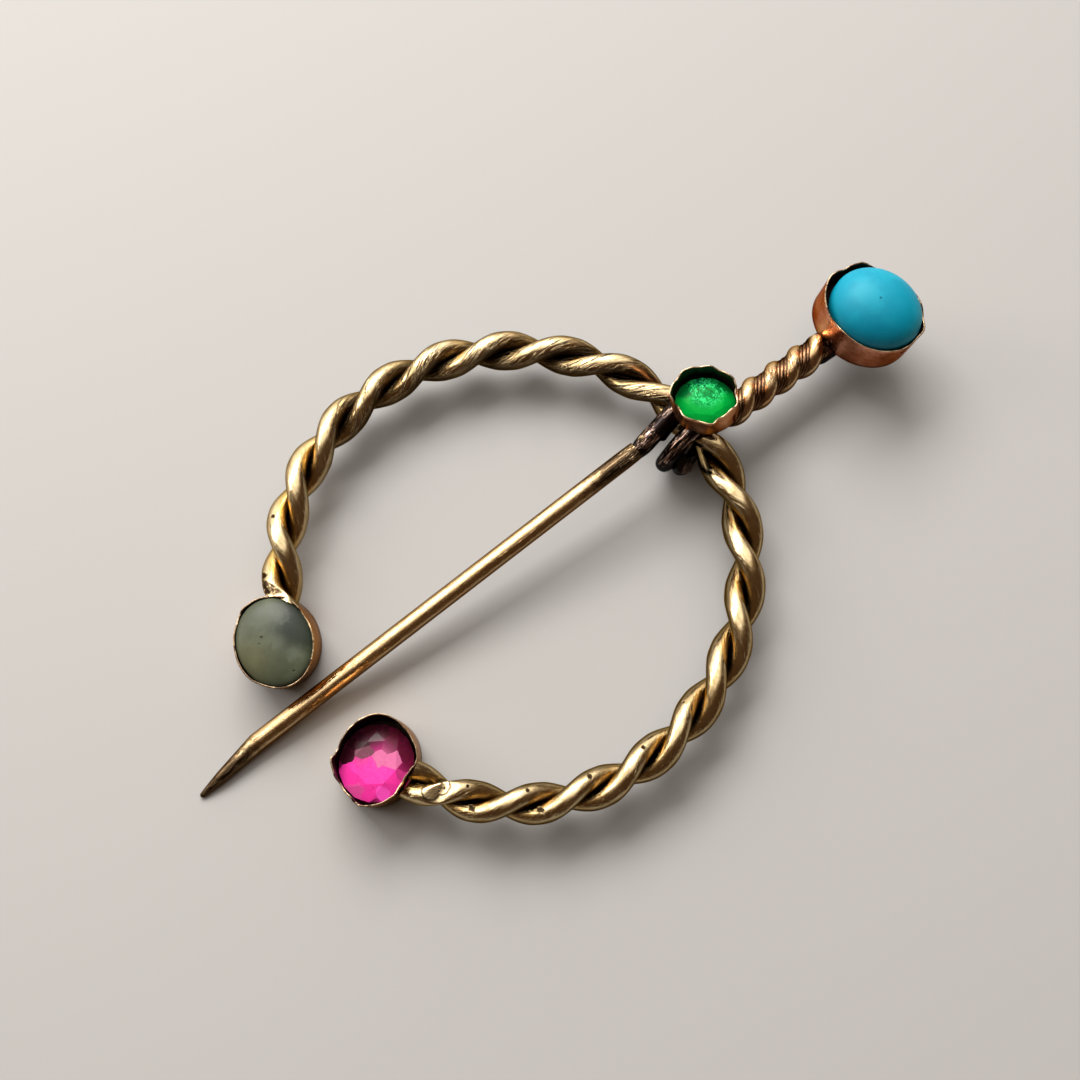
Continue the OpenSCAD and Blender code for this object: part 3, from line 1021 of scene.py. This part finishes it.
# The dark wire that carries on from the needle's root to the coil, and the short hollow end of
# another one beside it. The taper is the share of its length over which a wire widens.
wireEnds = {
    "root_wire": {"from": (11.6, 0.76, 4.76), "to": (17.2, 1.60, 5.55), "radius": 0.74, "hole": 0.0,
                  "taper": 0.3},
    "wire_end": {"from": (13.1, 1.30, 5.78), "to": (13.4, 1.25, 4.90), "radius": 0.25, "hole": 0.12,
                 "taper": 0.001},
}
wireEndShape = {"narrow": 0.45, "deep": 0.5, "sides": 24, "steps": 24}


def makeWireEnd(name, material):
    values = wireEnds[name]
    start, end = Vector(values["from"]), Vector(values["to"])
    points, radii = [], []
    for step in range(wireEndShape["steps"] + 1):
        share = min(1.0, step / (wireEndShape["steps"] + 1) / values["taper"])
        widened = (1 - wireEndShape["narrow"]) * math.sin(share * math.pi / 2)
        points.append(start.lerp(end, step / wireEndShape["steps"]))
        radii.append(values["radius"] * (wireEndShape["narrow"] + widened))
    piece = wireMesh(points, radii, wireEndShape["sides"])
    setWirePlace(piece, points, [Vector((0, 0, 1))] * len(points), values["radius"])
    if values["hole"]:
        heading = (end - start).normalized()
        activate(piece)
        for face in piece.data.polygons:
            face.select = face.normal.dot(heading) < -0.95  # only the open end's own face
        bpy.ops.object.mode_set(mode="EDIT")
        bpy.ops.mesh.select_mode(type="FACE")
        bpy.ops.mesh.inset(thickness=(values["radius"] - values["hole"]) * mm)
        extrude(heading * wireEndShape["deep"] * mm)
        stopEditing()
    smooth(piece)
    fit(piece, name, material, *pinMetal)


# The stem: a straight core, with two thick wires and six fine ones twisted round it
stem = {
    "start": (19.997, -0.78, 3.75), "end": (29.0, -1.14, 3.40), "pitch": 4.4, "phase": 61.4,
    "coreRadius": 0.72, "thickRadius": 0.61, "thickOut": 0.71, "fineRadius": 0.2, "fineOut": 0.85,
    "fineTurns": (-30, 0, 30), "ringsPerTurn": 48, "thickSides": 28, "fineSides": 14,
}


def makeStemWire(name, turn, out, radius, sides, material):
    # One wire of the stem, turned round it from the twist's own phase
    values = stem
    start, end = Vector(values["start"]), Vector(values["end"])
    along = (end - start).normalized()
    side = Vector((0, 0, 1)).cross(along).normalized()
    top = along.cross(side)
    turns = (end - start).length / values["pitch"]
    steps = round(turns * values["ringsPerTurn"])
    points, outs = [], []
    for step in range(steps + 1):
        angle = math.radians(turn + values["phase"] - 360 * turns * step / steps)
        away = side * math.cos(angle) + top * math.sin(angle)
        points.append(start.lerp(end, step / steps) + away * out)
        outs.append(away)
    piece = wireMesh(points, [radius] * len(points), sides)
    setWirePlace(piece, points, outs, radius)
    fit(piece, name, material, *pinMetal)


def makeStem(thick, fine, dark):
    values = stem
    makeStemWire("stem_core", 0, 0.0, values["coreRadius"], values["thickSides"], dark)
    fineNumber = 0
    for half in (0, 1):
        makeStemWire(f"stem_thick_{half + 1}", 180 * half, values["thickOut"], values["thickRadius"],
                     values["thickSides"], thick)
        for turn in values["fineTurns"]:
            fineNumber += 1
            makeStemWire(f"stem_fine_{fineNumber}", 180 * half + 90 + turn, values["fineOut"],
                         values["fineRadius"], values["fineSides"], fine)


# The stem's flattened end, which carries the head
headBar = {
    "from": (28.9, -1.14), "to": (33.84, -1.68), "fromRadius": 1.15, "toRadius": 0.92,
    "bottom": 2.87, "thickness": 1.05, "sides": 48, "edge": 0.3, "edgeSteps": 4, "edgeAngle": 50,
}


def makeHeadBar(material):
    values = headBar
    start, end = Vector(values["from"]), Vector(values["to"])
    deselectAll()
    bpy.ops.mesh.primitive_circle_add(vertices=values["sides"], radius=values["fromRadius"] * mm,
                                      fill_type="NGON", location=place(*start, values["bottom"]))
    piece = bpy.context.object
    applyPlace(piece)
    heading = (end - start).normalized()
    for vertex in piece.data.vertices:
        flat = Vector((vertex.co.x - hoopCentre.x, vertex.co.y)) / mm
        if (flat - start).dot(heading) > 0.01:  # the half that faces the head
            flat = end + (flat - start) * values["toRadius"] / values["fromRadius"]
            vertex.co = place(*flat, values["bottom"])
    editAll()
    extrude((0, 0, values["thickness"] * mm))
    stopEditing()
    cleanMesh(piece)
    bevel(piece, values["edge"], values["edgeSteps"], values["edgeAngle"])
    smooth(piece, angle=40)
    fit(piece, "head_bar", material, *pinMetal)


# What the two domed stones share, under each one's own values
polishedStone = {
    "wideClouds": {"Cut": 0.46, "Softness": 0.16, "Seed": 1.0}, "smallSize": 0.3, "smallSeed": 7.0,
    "pitShare": 0.6, "pitDip": -2.0, "cloudRough": 0.12, "glowDepth": 0.6, "dip": 0.04,
}


def domeStone(name, own):
    # Polished cloudy stone with small pits. A patch is a mark, its share and its colour.
    values = {**polishedStone, **own}
    material, tree, shader = newMaterial(name)
    wide = useGroup(tree, "grime", Size=values["cloudSize"], **values["wideClouds"])["Mask"]
    smallSize = values["cloudSize"] * values["smallSize"]
    small = useGroup(tree, "grime", Size=smallSize, Seed=values["smallSeed"])["Cloud"]
    base = mixColour(tree, wide, values["deep"], values["pale"])
    base = tint(tree, base, values["milky"], small, values["mottle"])
    for spot, share, colour in values["patches"]:
        base = tint(tree, base, colour, spotsMask(tree, [spot]), share)
    pits = spotsMask(tree, values["pits"])
    feedAll(tree, shader, {
        "Base Color": tint(tree, base, values["pitColour"], pits, values["pitShare"]),
        "Roughness": addUp(tree, values["rough"], (small, values["cloudRough"])),
        "Specular IOR Level": values["shine"],
        "Subsurface Weight": values["glow"],
        "Subsurface Scale": values["glowDepth"] * mm,
        "Subsurface Radius": (1, 1, 1),
    })
    dip = addUp(tree, 0.0, (small, values["bump"]), (pits, values["pitDip"]))
    addBump(tree, shader, dip, values["dip"])
    return material


# What the two cut stones share. The glass sways, then breaks into shards.
brokenGlass = {
    "glow": 0.25, "rough": 0.35, "coatRough": 0.05, "bump": 0.05, "swayScale": 1.5, "sway": (0.3, 0.3, 0),
    "patchFade": (0.7, 1.15), "crackleFade": (0.5, 1.0), "edgeWidth": 0.04,
    "fleckGrain": {"detail": 3.0, "rough": 0.6, "distortion": 1.6},
    "fleckPatches": 0.45, "fleckFade": (0.40, 0.50), "chipShift": (40.0, 0, 0),
}


def fleckMask(tree, local, values):
    # Broken lines where two areas of a noise meet, in patches of their own
    fleck = noiseMask(tree, local, values["fleckScale"], **values["fleckGrain"])
    fleck = maths(tree, "ABSOLUTE", maths(tree, "SUBTRACT", fleck, 0.5))
    fleck = fadeOut(tree, fleck, 0.0, values["fleckWidth"])
    patchy = noiseMask(tree, local, values["fleckScale"] * values["fleckPatches"], detail=1.0)
    return times(tree, fleck, fade(tree, patchy, *values["fleckFade"]))


def cutGlass(name, own):
    # Foil-backed cut glass. Each broken facet takes one colour from the patches around it, and a patch is
    # x, y, radius, share and colour. The patches paint the stone's light and shade, and the glow is painted
    # light.
    values = {**brokenGlass, **own}
    material, tree, shader = newMaterial(name)
    local = vectorMaths(tree, "SUBTRACT", objectPlace(tree), hoopCentre)
    local = vectorMaths(tree, "MULTIPLY", local, (1 / mm, 1 / mm, 0))
    sway = addNode(tree, "ShaderNodeTexNoise")
    feedAll(tree, sway, {"Vector": local, "Scale": values["swayScale"]})
    moved = vectorMaths(tree, "MULTIPLY", sway.outputs["Color"], values["sway"])
    moved = vectorMaths(tree, "ADD", local, moved)
    shards = addNode(tree, "ShaderNodeTexVoronoi", feature="F1")
    edges = addNode(tree, "ShaderNodeTexVoronoi", feature="DISTANCE_TO_EDGE")
    for node in (shards, edges):
        feedAll(tree, node, {"Vector": moved, "Scale": values["shardScale"]})
    random = addNode(tree, "ShaderNodeSeparateColor")
    feed(tree, random.inputs[0], shards.outputs["Color"])
    soft = values["soft"]
    picked = vectorMaths(tree, "ADD",
                         vectorMaths(tree, "MULTIPLY", shards.outputs["Position"], (1 - soft,) * 3),
                         vectorMaths(tree, "MULTIPLY", local, (soft,) * 3))
    base = values["main"]
    for x, y, radius, share, colour in values["patches"]:
        far = vectorMaths(tree, "DISTANCE", picked, (x, y, 0))
        inner, outer = [radius * part for part in values["patchFade"]]
        base = mixColour(tree, fadeOut(tree, far, inner, outer, share), base, colour)
    x, y, radius = values["crackled"]
    zone = vectorMaths(tree, "DISTANCE", local, (x, y, 0))
    zone = fadeOut(tree, zone, *[radius * part for part in values["crackleFade"]])
    lines = times(tree, fleckMask(tree, local, values), zone)
    base = tint(tree, base, values["line"], lines, values["lineShare"])
    moved = vectorMaths(tree, "ADD", local, values["chipShift"])
    chips = times(tree, fleckMask(tree, moved, values), zone)
    base = tint(tree, base, values["chip"], chips, values["chipShare"])
    edge = fadeOut(tree, edges.outputs["Distance"], 0.0, values["edgeWidth"])
    base = tint(tree, base, values["line"], times(tree, edge, random.outputs[1]), values["edgeShare"])
    feedAll(tree, shader, {
        "Base Color": base,
        # A painted glow, so that the stone stays bright in its setting's shade
        "Emission Color": base,
        "Emission Strength": values["glow"],
        "Roughness": values["rough"],
        "Specular IOR Level": values["shine"],
        "Coat Weight": values["coat"],
        "Coat Roughness": values["coatRough"],
    })
    addBump(tree, shader, times(tree, random.outputs[2], values["shardBump"]), values["bump"])
    return material


# The metals and stones of this brooch. A mark is x, y, z, radius, soft edge and raggedness.
materials = {
    # In the wires the groove, cleft and under colours are painted shade; the hoop's groove colour is a
    # painted warm reflection.
    "hoopGold": goldWire("hoop_gold_wire", {
        "pale": (0.92, 0.73, 0.43), "deep": (0.76, 0.56, 0.29), "dark": (0.045, 0.028, 0.015),
        "edge": (0.60, 0.45, 0.24), "rough": 0.06, "waviness": 0.3,
        "groove": (-0.35, 0.45), "grooveColour": (0.88, 0.57, 0.18), "grooveShare": 0.5,
        "cleft": (-0.75, -0.35), "cleftShare": 0.75,
        "under": (0.90, 0.35), "underColour": (0.065, 0.038, 0.018), "underShare": 0.93,
        "streak": (1.6, 7.0, 0.64, 3.0), "streakShare": 0.3,
        "wornAndShadedEverywhere": 0.15, "wornShare": 0.95,
        # These worn marks also darken the flanks and grooves with painted shade
        "wornAndShaded": [(16.1, 5.9, 4.3, 4.4, 0.5, 0.6), (13.5, 10.6, 4.3, 4.2, 0.6, 0.6),
                 (9.2, 14.4, 4.3, 4.0, 0.7, 0.6), (3.6, 16.6, 4.3, 4.0, 0.7, 0.6),
                 (-1.5, 16.9, 4.3, 3.6, 0.8, 0.6), (-15.5, 10.0, 4.0, 1.6, 0.7, 0.6)],
        # Painted warm reflections on the hoop's grooves and flanks here
        "warmReflection": [(-11.5, 12.5, 4.4, 8.0, 0.6, 0.6), (-15.0, -8.5, 4.4, 4.0, 0.8, 0.6)],
        # This mark is painted shadow where the coil and the needle's root shade the hoop
        "tarnishAndShadow": [(16.3, 0.6, 4.0, 2.2, 0.6, 0.6)],
        "pits": [(-13.44, -12.06, 3.6, 0.28, 0.6, 3.0), (-9.62, -15.23, 3.6, 0.28, 0.6, 3.0),
                 (-15.0, 10.9, 4.0, 0.35, 0.6, 3.0), (-15.4, 10.2, 4.0, 0.40, 0.6, 3.0),
                 (-15.5, 9.7, 4.0, 0.25, 0.6, 3.0), (-14.0, -9.75, 4.2, 0.10, 0.4, 3.0),
                 (-14.45, -9.7, 4.2, 0.08, 0.4, 3.0), (-13.8, -9.3, 4.2, 0.08, 0.4, 3.0),
                 (3.3, -15.6, 4.4, 0.20, 0.4, 0.6), (-1.06, -16.37, 4.4, 0.21, 0.4, 0.6),
                 (-5.38, -15.57, 4.4, 0.23, 0.4, 0.6), (-9.45, -13.59, 4.4, 0.20, 0.4, 0.6),
                 (-12.62, -10.71, 4.4, 0.17, 0.4, 0.6), (-11.79, 14.06, 4.4, 0.22, 0.4, 0.6)],
        "flats": [(-14.95, -9.35, 4.2, 0.55, 0.15, 0.6), (-14.1, -9.5, 4.2, 0.60, 0.15, 0.6)],
    }),
    "needleGold": goldWire("needle_gold", {
        "pale": (0.93, 0.68, 0.38), "deep": (0.84, 0.56, 0.28), "dark": (0.07, 0.038, 0.022),
        "edge": (0.62, 0.40, 0.20), "rough": 0.11, "waviness": 0.1,
        "groove": (-0.9, -0.5), "grooveColour": (0.30, 0.16, 0.07), "grooveShare": 0.5,
        "cleft": (-0.95, -0.8), "cleftShare": 0.3,
        "under": (0.86, 0.30), "underColour": (0.09, 0.043, 0.022), "underShare": 0.95,
        "streak": (6.0, 7.0, 0.66, 3.0), "streakShare": 0.35,
        "wornAndShadedEverywhere": 0.03, "wornShare": 0.75,
        "wornAndShaded": [(-28.0, 1.5, 0.6, 4.5, 0.5, 0.6), (12.0, 1.0, 5.4, 4.0, 0.8, 0.6)],
        "tarnishAndShadow": [(12.6, 1.0, 5.3, 6.0, 0.5, 0.6), (-28.3, 1.3, 0.4, 6.5, 0.4, 0.6)],
    }),
    "coilGold": goldWire("coil_tarnished_gold", {
        "pale": (0.62, 0.42, 0.33), "deep": (0.014, 0.008, 0.007), "dark": (0.006, 0.004, 0.003),
        "edge": (0.06, 0.04, 0.03), "rough": 0.10, "waviness": 0.8, "coat": 0.15,
        "tone": (0.60, 0.80), "glintShare": 0.85, "fine": (0.9, 7.0, 0.50, 11.0),
        "groove": (-0.4, 0.4), "grooveColour": (0.02, 0.012, 0.01), "grooveShare": 0.5,
        "cleft": (-0.9, -0.6), "cleftShare": 0.5,
        "under": (0.65, 0.1), "underColour": (0.016, 0.009, 0.008), "underShare": 0.85,
        "streak": (1.6, 5.0, 0.56, 3.0), "streakShare": 0.7,
        "wornAndShadedEverywhere": 0.5, "wornShare": 0.8,
    }),
    "stemGold": goldWire("stem_gold", {
        "pale": (0.93, 0.69, 0.40), "deep": (0.74, 0.47, 0.23), "dark": (0.040, 0.022, 0.014),
        "edge": (0.62, 0.40, 0.20), "rough": 0.10, "waviness": 0.4,
        "groove": (0.2, 0.85), "grooveColour": (0.10, 0.045, 0.018), "grooveShare": 0.95,
        "cleft": (-0.3, 0.5), "cleftShare": 0.85,
        "under": (0.80, 0.25), "underColour": (0.08, 0.036, 0.016), "underShare": 0.92,
        "streak": (1.4, 5.0, 0.62, 3.0), "streakShare": 0.3,
        "wornAndShadedEverywhere": 0.08, "wornShare": 0.8,
        "wornAndShaded": [(24.1, -0.7, 4.9, 1.2, 0.8, 0.6), (26.3, -0.85, 4.8, 1.2, 0.8, 0.6)],
    }),
    "fineGold": goldWire("stem_fine_gold", {
        "pale": (0.36, 0.21, 0.11), "deep": (0.15, 0.08, 0.042), "dark": (0.030, 0.018, 0.012),
        "edge": (0.15, 0.08, 0.04), "rough": 0.14, "waviness": 0.2,
        "groove": (-0.1, 0.8), "grooveColour": (0.05, 0.024, 0.012), "grooveShare": 0.95,
        "cleft": (-0.5, 0.1), "cleftShare": 0.9,
        "under": (0.75, 0.2), "underColour": (0.05, 0.024, 0.012), "underShare": 0.9,
        "streak": (1.6, 1.5, 0.60, 3.0), "streakShare": 0.3,
        "wornAndShadedEverywhere": 0.05, "wornShare": 0.6,
    }),
    "endWall": goldSheet("end_setting_gold", {
        "pale": (0.76, 0.47, 0.22), "deep": (0.52, 0.28, 0.12), "dark": (0.06, 0.026, 0.014),
        "edge": (0.5, 0.29, 0.14), "rough": 0.20, "cloudSize": 2.2, "seed": 2.0,
        "foot": 0.0, "footHeight": 2.4, "footShare": 0.55,
        "amber": [(-16.06, -8.17, 2.5, 0.7, 0.4, 0.6), (-15.6, -7.75, 3.3, 0.35, 0.4, 0.6)],
    }),
    "greenWall": goldSheet("green_setting_gold", {
        "pale": (0.78, 0.43, 0.26), "deep": (0.52, 0.25, 0.13), "dark": (0.07, 0.028, 0.018),
        "edge": (0.5, 0.26, 0.14), "rough": 0.30, "cloudSize": 1.6, "seed": 6.0,
        "foot": 5.7, "footHeight": 0.5, "footShare": 0.3,
        "amber": [(17.23, -1.61, 6.2, 0.35, 0.4, 1.5)],
        "pits": [(19.32, -1.78, 6.3, 0.3, 0.4, 1.5)],
    }),
    "headWall": goldSheet("head_setting_gold", {
        "pale": (0.74, 0.37, 0.25), "deep": (0.44, 0.17, 0.10), "dark": (0.05, 0.018, 0.012),
        "edge": (0.5, 0.24, 0.14), "rough": 0.26, "cloudSize": 2.0, "seed": 8.0,
        "foot": 3.8, "footHeight": 1.2, "footShare": 0.6,
        "amber": [(28.5, -0.3, 5.5, 1.6, 0.8, 0.6)],
        "pits": [(34.6, -5.3, 6.6, 0.5, 0.8, 2.5), (32.6, -5.7, 6.4, 0.4, 0.8, 2.5)],
    }),
    "inside": dullGold("setting_inside_shade", shadedInsideGold),
    "rim": dullGold("setting_rim", rimGold),
    "greyGreen": domeStone("grey_green_stone", {
        "deep": (0.050, 0.058, 0.032), "pale": (0.076, 0.090, 0.052), "milky": (0.15, 0.175, 0.125),
        "mottle": 0.28, "cloudSize": 2.6, "rough": 0.33, "shine": 0.3, "glow": 0.05, "bump": 0.3,
        "patches": [((-14.8, 6.3, 4.6, 2.9, 0.6, 0.5), 0.95, (0.012, 0.018, 0.012)),
                    ((-14.6, 5.0, 4.6, 2.0, 0.85, 0.5), 0.85, (0.030, 0.040, 0.028)),
                    ((-19.5, 6.2, 4.6, 2.6, 0.9, 0.5), 0.5, (0.115, 0.108, 0.048)),
                    ((-15.9, 7.5, 4.9, 1.1, 0.9, 1.6), 0.25, (0.22, 0.25, 0.20)),
                    ((-16.55, 4.5, 4.8, 0.9, 0.9, 1.6), 0.25, (0.22, 0.25, 0.20)),
                    ((-17.1, 5.9, 5.0, 0.8, 0.9, 1.6), 0.2, (0.19, 0.22, 0.17))],
        "pitColour": (0.02, 0.02, 0.012),
        "pits": [(-17.81, 6.97, 4.9, 0.12, 0.5, 0.6), (-18.2, 6.68, 4.85, 0.07, 0.5, 0.6),
                 (-17.39, 3.6, 4.6, 0.10, 0.5, 0.6)],
    }),
    "turquoise": domeStone("turquoise_stone", {
        "deep": (0.0, 0.25, 0.38), "pale": (0.003, 0.31, 0.44), "milky": (0.015, 0.40, 0.53),
        "mottle": 0.25, "cloudSize": 4.0, "rough": 0.40, "shine": 0.2, "glow": 0.1, "bump": 0.1,
        # The patch is painted shade on the side of the dome away from the key light
        "patches": [((30.5, -3.6, 6.9, 3.6, 0.9, 0.1), 0.5, (0.0, 0.12, 0.22))],
        "pitColour": (0.0, 0.06, 0.10),
        "pits": [(33.0, -1.95, 8.9, 0.10, 0.4, 0.6)],
    }),
    "pink": cutGlass("pink_glass", {
        "main": (0.86, 0.035, 0.33), "shardScale": 1.15, "soft": 0.25, "shardBump": 0.5,
        # The patches paint light and shade: dark towards the wall that shades the stone, bright magenta on
        # the side where light comes through
        "patches": [(-18.9, -5.7, 0.8, 1.0, (0.72, 0.07, 0.30)),
                    (-15.8, -7.0, 0.7, 1.0, (0.55, 0.035, 0.20)),
                    (-15.9, -5.2, 1.0, 1.0, (0.58, 0.13, 0.29)),
                    (-16.9, -3.9, 0.9, 1.0, (0.15, 0.045, 0.07)),
                    (-14.6, -6.5, 1.0, 1.0, (0.13, 0.005, 0.03)),
                    (-14.2, -5.2, 1.2, 1.0, (0.08, 0.004, 0.018)),
                    (-14.4, -4.0, 1.2, 1.0, (0.06, 0.004, 0.012)),
                    (-15.4, -3.0, 1.35, 1.0, (0.035, 0.004, 0.009)),
                    (-17.0, -2.5, 1.25, 1.0, (0.022, 0.003, 0.006)),
                    (-18.3, -3.1, 0.9, 1.0, (0.03, 0.003, 0.008)),
                    (-17.9, -7.4, 0.55, 1.0, (0.95, 0.08, 0.50)),
                    (-19.1, -7.1, 0.7, 1.0, (0.10, 0.005, 0.03))],
        "crackled": (-17.3, -5.7, 1.9), "fleckScale": 0.9, "fleckWidth": 0.012,
        "chip": (0.95, 0.13, 0.50), "chipShare": 0.6, "line": (0.30, 0.008, 0.10), "lineShare": 0.7,
        "edgeShare": 0.25, "coat": 0.05, "shine": 0.2,
    }),
    "green": cutGlass("green_glass", {
        "main": (0.0, 0.33, 0.040), "shardScale": 3.2, "soft": 0.8, "shardBump": 0.6,
        # The patches paint shade: darker towards the wall that shades the stone
        "patches": [(18.7, 0.9, 1.3, 0.8, (0.002, 0.29, 0.06)),
                    (19.3, 1.9, 0.8, 1.0, (0.004, 0.14, 0.055)),
                    (20.5, 0.5, 0.9, 0.8, (0.0, 0.08, 0.015)),
                    (17.7, 2.1, 0.8, 0.8, (0.0, 0.08, 0.02))],
        "crackled": (19.0, 1.1, 1.9), "fleckScale": 2.0, "fleckWidth": 0.07,
        "chip": (0.04, 0.78, 0.22), "chipShare": 1.0, "line": (0.0, 0.05, 0.012), "lineShare": 0.9,
        "edgeShare": 0.0, "coat": 0.0, "shine": 0.1,
    }),
}
print("materials made")

for wireSide in (0, 1):
    makeHoopWire(wireSide, materials["hoopGold"])
print("hoop wires made")
makeSetting("grey_green_setting", materials["endWall"], *hoopMetal)
makeSetting("pink_setting", materials["endWall"], *hoopMetal)
makeSetting("green_setting", materials["greenWall"], *pinMetal)
makeSetting("turquoise_setting", materials["headWall"], *pinMetal)
print("settings made")
makeDome("grey_green_dome", materials["greyGreen"], "hoop", "grey_green_cabochon", "grey_green_stone")
makeDome("turquoise_dome", materials["turquoise"], "pin", "turquoise_cabochon", "turquoise_stone")
makeCutStone("pink_cut_stone", materials["pink"], "hoop", "pink_stone", "pink_paste")
makeCutStone("green_cut_stone", materials["green"], "pin", "green_stone", "green_paste")
print("stones made")
makeNeedle(materials["needleGold"])
makeCoil(materials["coilGold"])
makeWireEnd("root_wire", materials["coilGold"])
makeWireEnd("wire_end", materials["needleGold"])
makeStem(materials["stemGold"], materials["fineGold"], materials["coilGold"])
makeHeadBar(materials["coilGold"])
print("needle, coil and stem made")


def makeFloor():
    deselectAll()
    bpy.ops.mesh.primitive_plane_add(size=studio["floorSize"])
    floor = bpy.context.object
    floor.name = "floor"
    material, tree, shader = newMaterial("floor")
    feedAll(tree, shader, {"Base Color": studio["floorColour"], "Roughness": studio["floorRough"]})
    floor.data.materials.append(material)


def makeWorld():
    # A bright sky towards the photograph's top and overhead, and a dark side below
    world = bpy.data.worlds.new("studio")
    bpy.context.scene.world = world
    world.use_nodes = True
    tree = world.node_tree
    background = tree.nodes["Background"]
    direction = addNode(tree, "ShaderNodeTexCoord").outputs["Generated"]
    top = vectorMaths(tree, "DOT_PRODUCT", direction, photoDirection(*studio["skyTowards"]))
    ramp = addNode(tree, "ShaderNodeValToRGB")
    stops = studio["sky"]
    first, last = ramp.color_ramp.elements
    first.position, last.position = stops[0][0], stops[-1][0]
    first.color, last.color = (*stops[0][1], 1), (*stops[-1][1], 1)
    for position, colour in stops[1:-1]:
        ramp.color_ramp.elements.new(position).color = (*colour, 1)
    feed(tree, ramp.inputs[0], addUp(tree, 0.5, (top, 0.5)))
    feedAll(tree, background, {"Color": ramp.outputs["Color"], "Strength": studio["skyStrength"]})


makeCamera(photoView)
makeLight("key_light", studio["key"])
makeLight("side_light", studio["side"])
makeFloor()
makeWorld()
bpy.context.scene.view_settings.view_transform = "Standard"
print("camera, lights and floor made")
